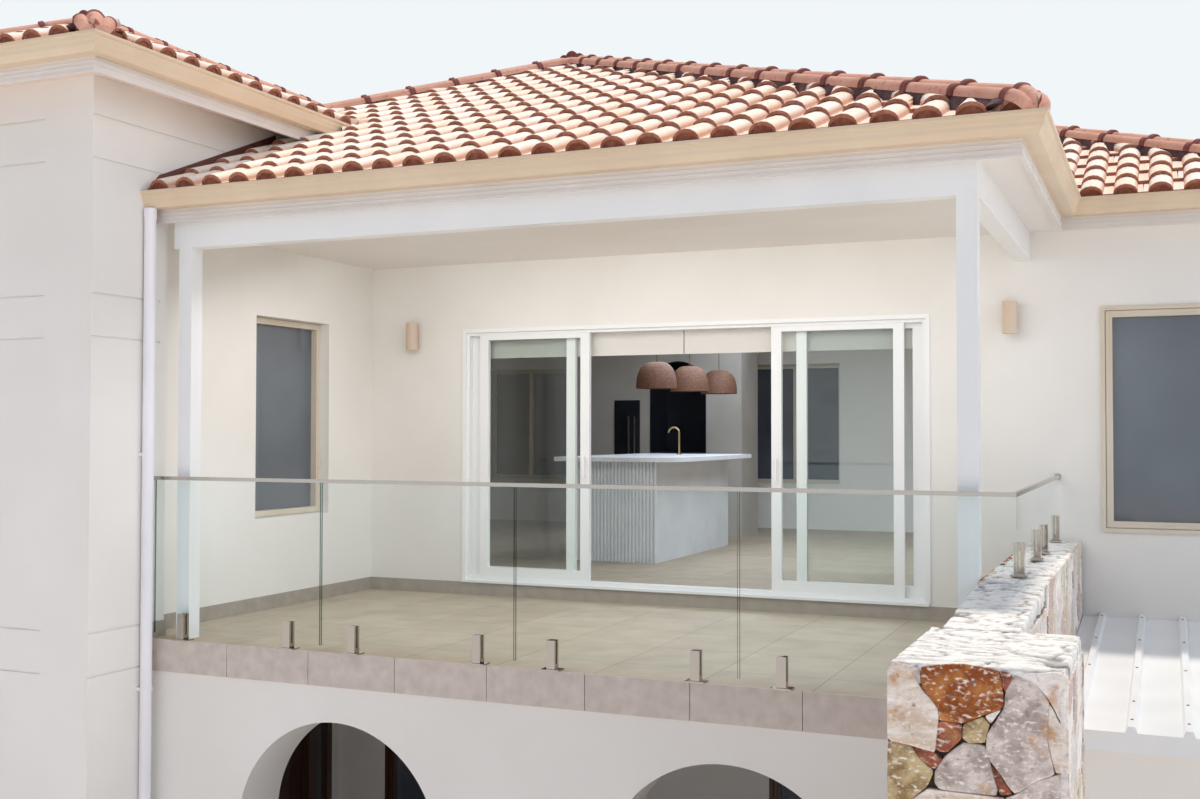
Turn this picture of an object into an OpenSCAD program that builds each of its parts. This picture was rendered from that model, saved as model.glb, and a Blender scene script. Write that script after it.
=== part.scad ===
// Two-storey rendered beach house with an arcaded porch, a glazed balcony and tiled hip roofs.
// Millimetres. +X runs to the right along the front, +Y into the house, +Z up from the ground.
// The origin is on the ground, under the middle of the walled footprint.

/* [Levels] */
// Height of the balcony deck above the ground
deck_z = 2900; // [2700:10:3200]
// Thickness of the ground slab
base_h = 100; // [60:10:160]
// Thickness of the balcony slab, which is the height of the edge tiles
slab_t = 200; // [160:10:260]
// Step up from the deck to the indoor floor
floor_step = 100; // [60:10:160]
// Height of the ceiling above the deck
ceiling_h = 2657; // [2500:1:2800]
// Thickness of the ceiling with its joists
ceiling_t = 69; // [50:1:90]
// Rise of the wing's eaves above the main eaves
wing_rise = 740; // [600:10:860]

/* [Plan] */
// Width of the wing on the left
wing_w = 4200; // [3600:50:4800]
// How far the wing stands in front of the balcony edge
wing_out = 522; // [400:1:700]
// Clear width of the balcony, from the wing to the stone wall
balcony_w = 5055; // [4800:5:5400]
// Depth of the balcony, from its edge to the back wall
balcony_d = 2767; // [2600:1:3100]
// Depth of the porch below the balcony
porch_d = 2060; // [1900:10:2300]
// Distance from the wing to the right-hand wall face of the house
house_w = 6690; // [6500:10:7200]
// Distance from the balcony edge to the rear wall face
house_d = 9700; // [9200:50:10400]
// Thickness of the outer walls
wall_t = 250; // [200:5:300]
// Thickness of the wing's wall beside the balcony
wing_wall_t = 380; // [330:5:450]
// Depth of the recess in the wing's wall beside the balcony
recess_d = 180; // [120:5:220]
// Length of the nib at the front end of the recess
nib_d = 120; // [80:5:200]
// Width of the shadow grooves in the wing's walls
groove_w = 12; // [8:1:16]
// Depth of the shadow grooves
groove_t = 8; // [5:1:12]
// Distance between the two grooves of a pair
groove_gap = 260; // [220:10:300]
// Height of the skirting tiles
skirting_h = 100; // [80:5:120]
// Thickness of the skirting tiles
skirting_t = 10; // [8:1:14]

/* [Roof] */
// Pitch of every roof slope, in degrees
pitch = 22.5; // [20:0.5:25]
// How far the tiles reach past the fascia
tile_out = 75; // [50:5:90]
// Thickness of the tile lip over the gutter
tile_lip = 18; // [14:1:24]
// Height of the fascia board
fascia_h = 106; // [90:1:130]
// Thickness of the fascia board
fascia_t = 20; // [16:1:30]
// Height of the roof's rim above the fascia
rim_h = 120; // [100:5:160]
// Width of the roof's flat seat round the walls
seat_w = 350; // [320:10:450]
// Overhang from wall face to fascia on the right and at the rear
eave_out = 250; // [200:5:290]
// Overhang from wall face to fascia on the wing
wing_eave_out = 300; // [250:5:330]
// Overhang of the balcony roof past the stone wall's inner face
balcony_eave = 220; // [180:5:260]
// Distance from the wing to the ridge of the balcony roof
ridge_x = 990; // [900:10:1100]
// Width of a gutter
gutter_w = 128; // [110:1:150]
// Height of a gutter
gutter_h = 106; // [95:1:125]
// Thickness of a gutter's wall
gutter_t = 6; // [4:1:8]
// Width that one tile covers
tile_w = 206; // [196:1:216]
// Height of the tiles' rolls
tile_h = 40; // [32:1:56]
// Radius of the hip and ridge caps
cap_r = 104; // [90:1:115]
// Length of a cap that shows
cap_len = 410; // [360:5:450]
// How far the rolls at the end of a cap stand proud
cap_roll = 18; // [12:1:24]
// Radius of the downpipe
pipe_r = 36; // [32:1:45]

/* [Arcade] */
// Thickness of the arcade wall
arcade_t = 400; // [330:10:450]
// Half the width of each arch
arch_r = 700; // [600:10:760]
// Middle of the left arch
arch_left_x = 1387; // [1250:1:1450]
// Middle of the right arch
arch_right_x = 3790; // [3700:1:4000]
// Distance from the deck down to the crown of the arches
arch_crown = 410; // [380:5:500]

/* [Balustrade] */
// Height of the top rail above the deck
rail_h = 1020; // [1000:5:1100]
// Width and height of the top rail
rail_w = 22; // [18:1:30]
// Thickness of the toughened glass
glass_t = 12; // [10:1:15]
// Gap between neighbouring sheets of glass
glass_gap = 12; // [8:1:20]
// Distance from the wing to the first joint in the front glass
glass_first = 1270; // [1180:2:1320]
// Spacing of the joints in the front glass
glass_pitch = 1294; // [1200:2:1310]
// Height of the foot of the glass above the deck
glass_lift = 35; // [25:5:50]
// Height of a spigot
spigot_h = 165; // [150:5:180]
// Width of a spigot
spigot_w = 50; // [44:1:56]

/* [Stone wall] */
// Thickness of the wall beside the balcony
stone_t = 320; // [280:5:400]
// Thickness of the front pier
pier_t = 580; // [500:5:620]
// How far the pier stands in past the wall's inner face
pier_in = 40; // [20:5:60]
// Distance from the balcony edge to the front face of the pier
pier_front = 2000; // [1800:10:2200]
// Length of the front pier
pier_len = 850; // [700:10:1000]
// Height of the wall above the deck
stone_top = 600; // [520:5:660]
// How much lower the top of the pier is
pier_drop = 60; // [30:5:90]

/* [Doors and windows] */
// Left edge of the sliding door
slider_x = 695; // [600:5:800]
// Width of the sliding door
slider_w = 3683; // [3500:1:3800]
// Height of the door heads above the deck
head_h = 2120; // [2050:5:2200]
// Depth of a window or door frame
frame_d = 100; // [80:5:120]
// Face width of the sliding door's outer frame
slider_frame_w = 45; // [35:1:60]
// Face width of a sliding panel's stiles
stile_w = 75; // [60:1:90]
// How much wider a sliding panel is than its share of the opening
panel_extra = 24; // [10:1:40]
// Distance from the left jamb to its open sliding panel
park_left = 92; // [60:1:120]
// Distance from the right jamb to its open sliding panel
park_right = 128; // [60:1:160]
// Height of the roller blinds
blind_h = 200; // [150:5:240]
// Face width of a window frame
window_frame_w = 48; // [40:1:60]
// Face width of the cover strip round a window
architrave_w = 24; // [18:1:40]
// How far the recess window is set back from the wall's face
window_back = 85; // [60:5:95]
// Width of the entrance doorway with its side light
entry_w = 1220; // [1160:5:1260]
// Distance from the balcony edge to the near side of the entrance doorway
entry_y = 750; // [700:5:790]
// Width of the side light
side_light_w = 134; // [100:2:160]
// Width of the post between the entrance door and the side light
entry_post_w = 96; // [70:2:110]
// Height of the entrance doorway
entry_h = 2100; // [2050:5:2150]
// Thickness of the entrance door's leaf
leaf_t = 44; // [38:1:50]
// Clearance round the entrance door's leaf
leaf_gap = 5; // [5:0.5:8]

/* [Posts and beams] */
// Width of a balcony post
post_w = 100; // [80:5:120]
// Width of the eaves beam
beam_w = 100; // [80:5:120]
// Distance from the balcony edge to the beam's front face
beam_y = 68; // [50:1:90]
// Height of the underside of the beam above the deck
beam_h = 2466; // [2400:1:2500]
// Distance from the wing to the left post
left_post_x = 145; // [120:5:200]
// How far the beam reaches past the left post
beam_end = 41; // [20:1:60]

/* [Metal roof] */
// Height of the low roof above the deck, at the house wall
low_roof_h = 95; // [80:5:140]
// Fall of the low roof, in degrees
low_roof_fall = 3; // [2:0.5:4]
// Spacing of the ribs
rib_pitch = 240; // [200:5:280]
// Height of the ribs
rib_h = 29; // [20:1:35]

/* [Kitchen] */
// Distance from the balcony edge to the kitchen's wall
kitchen_y = 8000; // [7600:50:8400]
// Height of the worktop above the deck
worktop_h = 1070; // [1020:5:1100]
// Thickness of the worktop
worktop_t = 40; // [30:1:60]
// Left side of the island
island_x = 750; // [650:10:850]
// Width of the island
island_w = 850; // [700:10:950]
// Distance from the balcony edge to the island
island_y = 4750; // [4600:10:5000]
// Length of the island
island_l = 2120; // [1900:10:2400]
// Radius of the worktop's rounded corner
worktop_r = 350; // [250:10:420]
// Radius of the flutes on the island's front
flute_r = 17; // [12:1:24]
// Diameter of a pendant's shade
shade_d = 392; // [340:2:440]
// Height of a pendant's shade
shade_h = 258; // [220:2:300]
// Height of the shades' rims above the deck
shade_z = 1717; // [1600:1:1800]
// Spacing of the pendants
shade_pitch = 905; // [800:5:1000]
// Half the width of the arched niche
niche_r = 350; // [300:5:400]

/* [Hidden] */

wall_paint = "#efece6";
frame_white = "#f2f3f2";
frame_cream = "#ddd2bd";
glass_tint = [0.75, 0.86, 0.85, 0.35];

// Levels
floor_z = deck_z + floor_step;
ceiling_z = deck_z + ceiling_h;
plate_z = ceiling_z + ceiling_t;
slab_z = deck_z - slab_t;
head_z = deck_z + head_h;
rail_z = deck_z + rail_h;
wing_top_z = plate_z + wing_rise;

// Plan lines
left_x = -wing_w;
right_in = house_w - wall_t;
rear_in = house_d - wall_t;
recess_x = -recess_d;
side_in = -wing_wall_t;
stone_x = balcony_w;
stone_out = stone_x + stone_t;
back_in = balcony_d + wall_t;
front_in = -wing_out + wall_t;
centre_x = (left_x + house_w) / 2;
centre_y = (house_d - wing_out) / 2;

// Fascia planes and roof outlines
main_x1 = balcony_w + balcony_eave;
main_x0 = 2 * ridge_x - main_x1;
right_x1 = house_w + eave_out + 30;
right_y0 = balcony_d - eave_out;
rear_y1 = house_d + eave_out;
wing_x0 = left_x - wing_eave_out;
wing_x1 = wing_eave_out;
wing_y0 = -wing_out - wing_eave_out;
slope = tan(pitch);
eps = 1;

module on_site() {
    translate([-centre_x, -centre_y, 0]) children();
}

// Box between two corners
module block(x0, x1, y0, y1, z0, z1) {
    translate([x0, y0, z0]) cube([x1 - x0, y1 - y0, z1 - z0]);
}

// Outline drawn in X and Z, extruded along +Y from y0 to y1
module slab_xz(y0, y1) {
    translate([0, y1, 0]) rotate([90, 0, 0]) linear_extrude(y1 - y0) children();
}

// Outline drawn in Y and Z, extruded along +X from x0 to x1
module slab_yz(x0, x1) {
    translate([x0, 0, 0]) rotate([90, 0, 90]) linear_extrude(x1 - x0) children();
}

module rect(x0, x1, y0, y1) {
    translate([x0, y0]) square([x1 - x0, y1 - y0]);
}

// Windows on the sides that have no balcony: [distance along the wall, width]
plain_w = 1200;
sills = [base_h + 800, deck_z + 660];
plain_window_h = 1490;
wing_front_windows = [left_x / 2];
left_windows = [house_d * 0.22, house_d * 0.62];
rear_windows = [left_x / 2, house_w * 0.24, house_w * 0.72];
right_windows = [house_d * 0.45, house_d * 0.78];
storeys = [0, 1];
function window_top(s) = min(sills[s] + plain_window_h, s == 0 ? slab_z - 150 : head_z + 30);

// Outline of one plain window, in the wall's own plane
module plain_hole(at, s) {
    rect(at - plain_w / 2, at + plain_w / 2, sills[s], window_top(s));
}

module ground_floor() {
    color("#cfc8bb") on_site() difference() {
        linear_extrude(base_h) polygon([[left_x, -wing_out], [0, -wing_out], [0, 0], [house_w, 0],
            [house_w, house_d], [left_x, house_d]]);
        block(stone_x, stone_out, -eps, balcony_d, -eps, base_h + eps);
    }
}

// Hairline joint between the pieces of the arcade
hairline = 0.4;

// Front wall of the porch with its two round arches, parted at their springing, haunches and crowns
module arcade_wall() {
    spring_z = deck_z - arch_crown - arch_r;
    color(wall_paint) on_site() slab_xz(12, arcade_t) difference() {
        rect(0, stone_x, base_h, slab_z);
        for (x = [arch_left_x, arch_right_x]) {
            rect(x - arch_r, x + arch_r, base_h - eps, spring_z);
            translate([x, spring_z]) circle(arch_r, $fn = 96);
            for (a = [45, 90, 135]) translate([x + arch_r * cos(a) - hairline / 2, spring_z])
                square([hairline, 2 * arch_r]);
        }
        rect(-eps, stone_x + eps, spring_z - hairline, spring_z);
    }
}

porch_window = [450, 1250, base_h + 900, 2250];
porch_door = [3460, 1450, base_h, 2250];

module porch_back_wall() {
    color(wall_paint) on_site() slab_xz(porch_d, porch_d + wall_t) difference() {
        rect(0, stone_x, base_h, slab_z);
        for (h = [porch_window, porch_door])
            rect(h[0], h[0] + h[1], h[2] - eps, h[3]);
    }
}

entry_y1 = entry_y + entry_w;
entry_top = base_h + entry_h;

// Walls beside the entrance doorway
module porch_side_walls() {
    color(wall_paint) on_site() {
        block(side_in, 0, -wing_out, entry_y, base_h, entry_top);
        block(side_in, 0, entry_y1, back_in, base_h, entry_top);
    }
}

// Wall between the wing and the balcony, with the recess and its window
recess_window = [1254, 902, deck_z + 667, deck_z + 2152];

// Levels of the shadow grooves, in pairs
groove_z = [for (top = [wing_top_z - 251, head_z + 18, deck_z + 105]) each [top, top - groove_gap]];

module wing_side_wall() {
    color(wall_paint) on_site() difference() {
        slab_yz(side_in, 0) union() {
            rect(-wing_out, back_in, entry_top, wing_top_z);
            rect(back_in - eps, house_d, ceiling_z, wing_top_z);
        }
        for (z = groove_z)
            block(-groove_t, eps, -wing_out - eps, z > plate_z ? back_in : nib_d / 2, z - groove_w, z);
        block(recess_x, eps, nib_d, back_in + eps, slab_z, plate_z);
        slab_yz(side_in - eps, eps)
            rect(recess_window[0], recess_window[0] + recess_window[1], recess_window[2], recess_window[3]);
    }
}

module wing_front_wall() {
    color(wall_paint) on_site() difference() {
        slab_xz(-wing_out, front_in) difference() {
            rect(left_x, side_in, base_h, wing_top_z);
            for (x = wing_front_windows, s = storeys) plain_hole(x, s);
        }
        for (z = groove_z)
            block(left_x - eps, side_in + eps, -wing_out - eps, -wing_out + groove_t, z - groove_w, z);
    }
}

module left_wall() {
    color(wall_paint) on_site() slab_yz(left_x, left_x + wall_t) difference() {
        rect(front_in, house_d, base_h, wing_top_z);
        for (y = left_windows, s = storeys) plain_hole(y, s);
    }
}

module rear_wall() {
    color(wall_paint) on_site() slab_xz(rear_in, house_d) difference() {
        union() {
            rect(left_x + wall_t, right_in, base_h, ceiling_z);
            rect(left_x + wall_t, side_in, ceiling_z - eps, wing_top_z);
        }
        for (x = rear_windows, s = storeys) plain_hole(x, s);
    }
}

low_eave_z = deck_z + low_roof_h - balcony_d * tan(low_roof_fall);
low_wall_top = low_eave_z - 60;

module right_wall() {
    color(wall_paint) on_site() slab_yz(right_in, house_w) difference() {
        rect(balcony_d, house_d, base_h, ceiling_z);
        for (y = right_windows, s = storeys) plain_hole(y, s);
    }
}

// Walls under the low roof
module low_walls() {
    color(wall_paint) on_site() {
        block(stone_out, house_w, 0, wall_t, base_h, low_wall_top);
        block(right_in, house_w, wall_t - eps, balcony_d, base_h, low_wall_top);
    }
}

module upper_floor() {
    color("#b9aa98") on_site() translate([0, 0, slab_z]) linear_extrude(slab_t + floor_step)
        polygon([[left_x + wall_t, front_in], [side_in, front_in], [side_in, back_in],
            [right_in, back_in], [right_in, rear_in], [left_x + wall_t, rear_in]]);
}

edge_tile_t = 12;

module balcony_slab() {
    color("#b3aa9c") on_site() union() {
        block(0, stone_x, edge_tile_t, back_in, slab_z, deck_z);
        block(recess_x, eps, nib_d, back_in, slab_z, deck_z);
    }
}

// Tiles at the foot of the balcony's walls
module skirting_tiles() {
    z1 = deck_z + skirting_h;
    color("#8d7261") on_site() union() {
        block(0, skirting_t, edge_tile_t, nib_d + skirting_t, deck_z, z1);
        block(recess_x + skirting_t - eps, skirting_t, nib_d, nib_d + skirting_t, deck_z, z1);
        block(recess_x, recess_x + skirting_t, nib_d, balcony_d, deck_z, z1);
        block(recess_x, stone_x, balcony_d - skirting_t, balcony_d, deck_z, z1);
    }
}

edge_tile_w = 600;
edge_tile_joint = 4;

module edge_tiles() {
    count = floor((balcony_w - 2) / edge_tile_w);
    color("#b59f92") on_site() for (i = [0 : count])
        block(i * edge_tile_w + edge_tile_joint / 2,
            min((i + 1) * edge_tile_w, balcony_w) - edge_tile_joint / 2, 0, edge_tile_t, slab_z, deck_z);
}

module stone_wall() {
    pier_top = deck_z + stone_top - pier_drop;
    pier_back = pier_len - pier_front;
    color("#b7a48d") on_site() union() {
        slab_yz(stone_x, stone_out) polygon([[pier_back - eps, 0], [balcony_d, 0],
            [balcony_d, deck_z + stone_top], [0, deck_z + stone_top], [pier_back - eps, pier_top]]);
        slab_yz(stone_x - pier_in, stone_x - pier_in + pier_t) polygon([[-pier_front, 0], [pier_back, 0], [pier_back, pier_top],
            [-pier_front + 60, pier_top], [-pier_front, pier_top - 45]]);
    }
}

right_window = [stone_out + 145, right_in - stone_out - 235, deck_z + 674, deck_z + 2113];

module back_wall() {
    color(wall_paint) on_site() slab_xz(balcony_d, back_in) difference() {
        union() {
            rect(recess_x, right_in, deck_z, ceiling_z);
            rect(stone_x, right_in, slab_z, deck_z + eps);
        }
        rect(slider_x, slider_x + slider_w, floor_z, head_z);
        rect(right_window[0], right_window[0] + right_window[1], right_window[2], right_window[3]);
    }
}

// Ring of frame, drawn in the plane of its wall; top and bottom may have widths of their own
module ring(x0, x1, z0, z1, w, top = undef, bottom = undef) {
    difference() {
        rect(x0, x1, z0, z1);
        rect(x0 + w, x1 - w, z0 + (is_undef(bottom) ? w : bottom), z1 - (is_undef(top) ? w : top));
    }
}

slider_y = balcony_d + 10;
slider_in_x0 = slider_x + slider_frame_w;
slider_in_x1 = slider_x + slider_w - slider_frame_w;
sill_t = 20;
sill_out = 25;

module sliding_door_frame() {
    color(frame_white) on_site() {
        slab_xz(slider_y, slider_y + frame_d)
            ring(slider_x, slider_x + slider_w, floor_z, head_z, slider_frame_w);
        block(slider_x, slider_x + slider_w, balcony_d - sill_out, slider_y, floor_z, floor_z + sill_t);
        // Cover strips over the joint with the wall, and the reveal behind them
        for (lap = [8, 0]) slab_xz(balcony_d - (lap > 0 ? 12 : eps), lap > 0 ? balcony_d : slider_y + eps)
            difference() {
                rect(slider_x - lap, slider_x + slider_w + lap, floor_z + sill_t, head_z + lap);
                rect(slider_x + 22, slider_x + slider_w - 22, floor_z + sill_t - eps, head_z - 22);
            }
    }
}

panel_z0 = floor_z + slider_frame_w;
panel_z1 = head_z - slider_frame_w;
panel_top_w = 38;
panel_bottom_w = 80;
half_w = (slider_in_x1 - slider_in_x0) / 2;
sliding_w = (half_w + stile_w) / 2 + panel_extra;
fixed_w = half_w + stile_w - sliding_w;
panel_d = 38;
track_out = slider_y + 6;
track_in = track_out + panel_d + 8;
// Each panel: left edge, width, face
panels = [[slider_in_x0, fixed_w, track_in], [slider_in_x1 - fixed_w, fixed_w, track_in],
    [slider_in_x0 + park_left, sliding_w, track_out],
    [slider_in_x1 - park_right - sliding_w, sliding_w, track_out]];
pull_z = deck_z + 946;
pull_l = 178;

// Bar handle on the stile whose middle is at x
module pull_handle(x) {
    block(x - 8, x + 8, track_out - 34, track_out - 20, pull_z, pull_z + pull_l);
    for (z = [pull_z + 14, pull_z + pull_l - 34])
        block(x - 7, x + 7, track_out - 21, track_out + eps, z, z + 20);
}

module sliding_door_panels() {
    color(frame_white) on_site() {
        for (p = panels) slab_xz(p[2], p[2] + panel_d)
            ring(p[0], p[0] + p[1], panel_z0, panel_z1, stile_w, panel_top_w, panel_bottom_w);
        pull_handle(panels[2][0] + sliding_w - stile_w / 2);
        pull_handle(panels[3][0] + stile_w / 2);
    }
}

door_glass_t = 8;
// Clearance round a pane of glass in its frame
pane_fit = 0.3;

module sliding_door_glass() {
    in_by = stile_w + pane_fit;
    color(glass_tint) on_site() for (p = panels)
        block(p[0] + in_by, p[0] + p[1] - in_by, p[2] + (panel_d - door_glass_t) / 2,
            p[2] + (panel_d + door_glass_t) / 2, panel_z0 + panel_bottom_w + pane_fit,
            panel_z1 - panel_top_w - pane_fit);
}

module door_blinds() {
    half = (slider_w - 2 * slider_frame_w) / 2;
    y = slider_y + frame_d;
    roll_r = 38;
    color("#e9e6df") on_site() for (i = [0, 1]) {
        x0 = slider_in_x0 + i * half + 4;
        x1 = x0 + half - 8;
        translate([x0, y + roll_r, head_z - roll_r]) rotate([0, 90, 0])
            cylinder(x1 - x0, r = roll_r, $fn = 48);
        block(x0, x1, y, y + 3, head_z - blind_h, head_z - roll_r);
        block(x0, x1, y, y + 14, head_z - blind_h - 24, head_z - blind_h + eps);
    }
}

// Window unit in its own frame: x across from 0 to w, y into the wall from its face, z up from 0 to h
module window_unit(w, h, mullions = 0, sill = architrave_w, strip = true) {
    bay = (w - window_frame_w) / (mullions + 1);
    foot = sill == 0 ? -eps : 1;
    edge = sill == 0 ? 0 : 8;
    if (strip) slab_xz(-12, 0) difference() {
        rect(-architrave_w, w + architrave_w, -sill, h + architrave_w);
        rect(3, w - 3, 3 * foot, h - 3);
    }
    slab_xz(-4, eps) difference() {
        rect(8, w - 8, edge, h - 8);
        rect(30, w - 30, 30 * foot, h - 30);
    }
    difference() {
        slab_xz(0, frame_d) difference() {
            rect(0, w, 0, h);
            for (i = [0 : mullions])
                rect(i * bay + window_frame_w, (i + 1) * bay, window_frame_w, h - window_frame_w);
        }
        // Shadow groove between the strip and the frame's face
        slab_xz(-eps, 7) difference() {
            rect(3, w - 3, 3, h - 3);
            rect(8, w - 8, 8, h - 8);
        }
    }
}

module window_pane(w, h, mullions = 0) {
    bay = (w - window_frame_w) / (mullions + 1);
    for (i = [0 : mullions])
        block(i * bay + window_frame_w + pane_fit, (i + 1) * bay - pane_fit, frame_d / 2, frame_d / 2 + 6,
            window_frame_w + pane_fit, h - window_frame_w - pane_fit);
}

module porch_windows() {
    color("#4b2c1e") on_site() for (h = [porch_window, porch_door])
        translate([h[0], porch_d, h[2]]) window_unit(h[1], h[3] - h[2], 1, h[2] > base_h ? architrave_w : 0);
}

module porch_panes() {
    for (h = [porch_window, porch_door]) translate([h[0], porch_d, h[2]]) window_pane(h[1], h[3] - h[2], 1);
}

module at_recess_window() {
    translate([recess_x - window_back, recess_window[0], recess_window[2]]) rotate([0, 0, 90]) children();
}

// Puts a child at every plain window
module at_plain_windows() {
    for (s = storeys) {
        for (x = wing_front_windows) translate([x - plain_w / 2, -wing_out, sills[s]]) children(s);
        for (y = left_windows)
            translate([left_x, y + plain_w / 2, sills[s]]) rotate([0, 0, -90]) children(s);
        for (x = rear_windows)
            translate([x + plain_w / 2, house_d, sills[s]]) rotate([0, 0, 180]) children(s);
        for (y = right_windows)
            translate([house_w, y - plain_w / 2, sills[s]]) rotate([0, 0, 90]) children(s);
    }
}

module window_frames() {
    color(frame_cream) on_site() {
        at_recess_window()
            window_unit(recess_window[1], recess_window[3] - recess_window[2], strip = false);
        translate([right_window[0], balcony_d, right_window[2]])
            window_unit(right_window[1], right_window[3] - right_window[2]);
        at_plain_windows() {
            window_unit(plain_w, window_top(0) - sills[0], 1);
            window_unit(plain_w, window_top(1) - sills[1], 1);
        }
    }
}

module window_glass() {
    color(glass_tint) on_site() {
        at_recess_window() window_pane(recess_window[1], recess_window[3] - recess_window[2]);
        translate([right_window[0], balcony_d, right_window[2]])
            window_pane(right_window[1], right_window[3] - right_window[2]);
        at_plain_windows() {
            window_pane(plain_w, window_top(0) - sills[0], 1);
            window_pane(plain_w, window_top(1) - sills[1], 1);
        }
        porch_panes();
        block((leaf_in_x - 6) / 2, (leaf_in_x + 6) / 2, side_light_y0 + pane_fit, side_light_y1 - pane_fit,
            base_h + entry_frame_w + pane_fit, entry_top - entry_frame_w - pane_fit);
    }
}

// Entrance door in the porch's left wall, with a narrow side light
entry_frame_w = 60;
leaf_out_x = -75;
leaf_in_x = leaf_out_x - leaf_t;
side_light_y1 = entry_y1 - entry_frame_w;
side_light_y0 = side_light_y1 - side_light_w;
way_y0 = entry_y + entry_frame_w;
way_y1 = side_light_y0 - entry_post_w;
leaf_y0 = way_y0 + leaf_gap;
leaf_y1 = way_y1 - leaf_gap;
leaf_z0 = base_h + leaf_gap;
leaf_z1 = entry_top - entry_frame_w - leaf_gap;
hinge_r = 6;
hinge_x = leaf_in_x - hinge_r;
hinge_y = leaf_y0 - leaf_gap / 2;
knuckle_h = 30;
knuckle_gap = 0.3;
plate_w = 30;
plate_t = 3;
hinge_z = [leaf_z0 + 200, (leaf_z0 + leaf_z1) / 2, leaf_z1 - 200];
panel_t = 8;

module entry_frame() {
    color("#3b1f14") on_site() {
        slab_yz(leaf_in_x, 0) difference() {
            rect(entry_y, entry_y1, base_h, entry_top);
            rect(way_y0, way_y1, base_h - eps, entry_top - entry_frame_w);
            rect(side_light_y0, side_light_y1, base_h + entry_frame_w, entry_top - entry_frame_w);
        }
        for (z = hinge_z, side = [-1, 1]) {
            z0 = side < 0 ? z - 1.5 * knuckle_h - knuckle_gap : z + 0.5 * knuckle_h + knuckle_gap;
            translate([hinge_x, hinge_y, z0]) cylinder(knuckle_h, r = hinge_r, $fn = 32);
            block(leaf_in_x - plate_t, leaf_in_x, hinge_y - plate_w, hinge_y, z0, z0 + knuckle_h);
        }
    }
}

module entry_door_leaf() {
    rail = 110;
    mid = (leaf_z0 + leaf_z1) / 2;
    color("#3f2216") on_site() {
        difference() {
            block(leaf_in_x, leaf_out_x, leaf_y0, leaf_y1, leaf_z0, leaf_z1);
            for (z = [[leaf_z0 + rail, mid - rail / 2], [mid + rail / 2, leaf_z1 - rail]])
                block(leaf_out_x - panel_t, leaf_out_x + eps, leaf_y0 + rail, leaf_y1 - rail, z[0], z[1]);
        }
        for (z = hinge_z) {
            translate([hinge_x, hinge_y, z - knuckle_h / 2]) cylinder(knuckle_h, r = hinge_r, $fn = 32);
            block(leaf_in_x - plate_t, leaf_in_x, hinge_y, hinge_y + plate_w, z - knuckle_h / 2,
                z + knuckle_h / 2);
        }
    }
}

handle_z = base_h + 1000;

module entry_door_handle() {
    color("silver") on_site() for (side = [0, 1])
        translate([side == 0 ? leaf_out_x : leaf_in_x, leaf_y1 - 55, handle_z])
            rotate([0, side == 0 ? 90 : -90, 0]) {
                cylinder(8, r = 26, $fn = 48);
                cylinder(54, r = 10, $fn = 32);
                translate([0, 0, 44]) rotate([90, 0, 0]) cylinder(110, r = 8, $fn = 32);
            }
}

module wall_lights() {
    color("#c9beb0") on_site() for (x = [250, 4930]) {
        translate([x, balcony_d - 75, deck_z + 1970]) cylinder(220, r = 50, $fn = 48);
        block(x - 20, x + 20, balcony_d - 40, balcony_d, deck_z + 2040, deck_z + 2120);
    }
}

// Balustrade
glass_y = 20;
side_glass_x = 5218;
glass_z0 = deck_z + glass_lift;
side_glass_z0 = deck_z + stone_top + glass_lift;
front_glass_x0 = 12;
front_count = 4;
// Ends of the front sheets
function sheet_start(i) = i == 0 ? front_glass_x0 : glass_first + (i - 1) * glass_pitch + glass_gap / 2;
function sheet_end(i) = i == front_count - 1 ? side_glass_x : glass_first + i * glass_pitch - glass_gap / 2;
side_count = 2;
side_glass_y0 = glass_y + glass_t + 3;
side_glass_w = (balcony_d - 20 - side_glass_y0 - (side_count - 1) * glass_gap) / side_count;

module balustrade_glass() {
    color(glass_tint) on_site() {
        for (i = [0 : front_count - 1]) {
            foot = min(stone_x, sheet_end(i));
            slab_xz(glass_y, glass_y + glass_t) union() {
                rect(sheet_start(i), foot, glass_z0, rail_z - rail_w);
                if (foot < sheet_end(i)) rect(foot - eps, sheet_end(i), side_glass_z0, rail_z - rail_w);
            }
        }
        for (i = [0 : side_count - 1]) {
            y = side_glass_y0 + i * (side_glass_w + glass_gap);
            block(side_glass_x, side_glass_x + glass_t, y, y + side_glass_w, side_glass_z0, rail_z - rail_w);
        }
    }
}

// Spigot with a slot for the glass, on its base plate; the glass runs along X
plate_l = 110;
plate_d = 78;
module spigot() {
    translate([-plate_l / 2, -plate_d / 2, 0]) cube([plate_l, plate_d, 8]);
    difference() {
        translate([-spigot_w / 2, -spigot_w / 2, 0]) cube([spigot_w, spigot_w, spigot_h]);
        translate([-spigot_w, -glass_t / 2, glass_lift]) cube([2 * spigot_w, glass_t, spigot_h]);
    }
}

spigot_in = 225;
module glass_spigots() {
    color("#c9ccce") on_site() {
        for (i = [0 : front_count - 1], end = [0, 1]) {
            x = end == 0 ? sheet_start(i) + spigot_in : min(stone_x - 60, sheet_end(i)) - spigot_in;
            translate([x, glass_y + glass_t / 2, deck_z]) spigot();
        }
        for (i = [0 : side_count - 1], end = [0, 1]) {
            y0 = side_glass_y0 + i * (side_glass_w + glass_gap);
            translate([side_glass_x + glass_t / 2, end == 0 ? y0 + spigot_in : y0 + side_glass_w - spigot_in,
                deck_z + stone_top]) rotate([0, 0, 90]) spigot();
        }
    }
}

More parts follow.
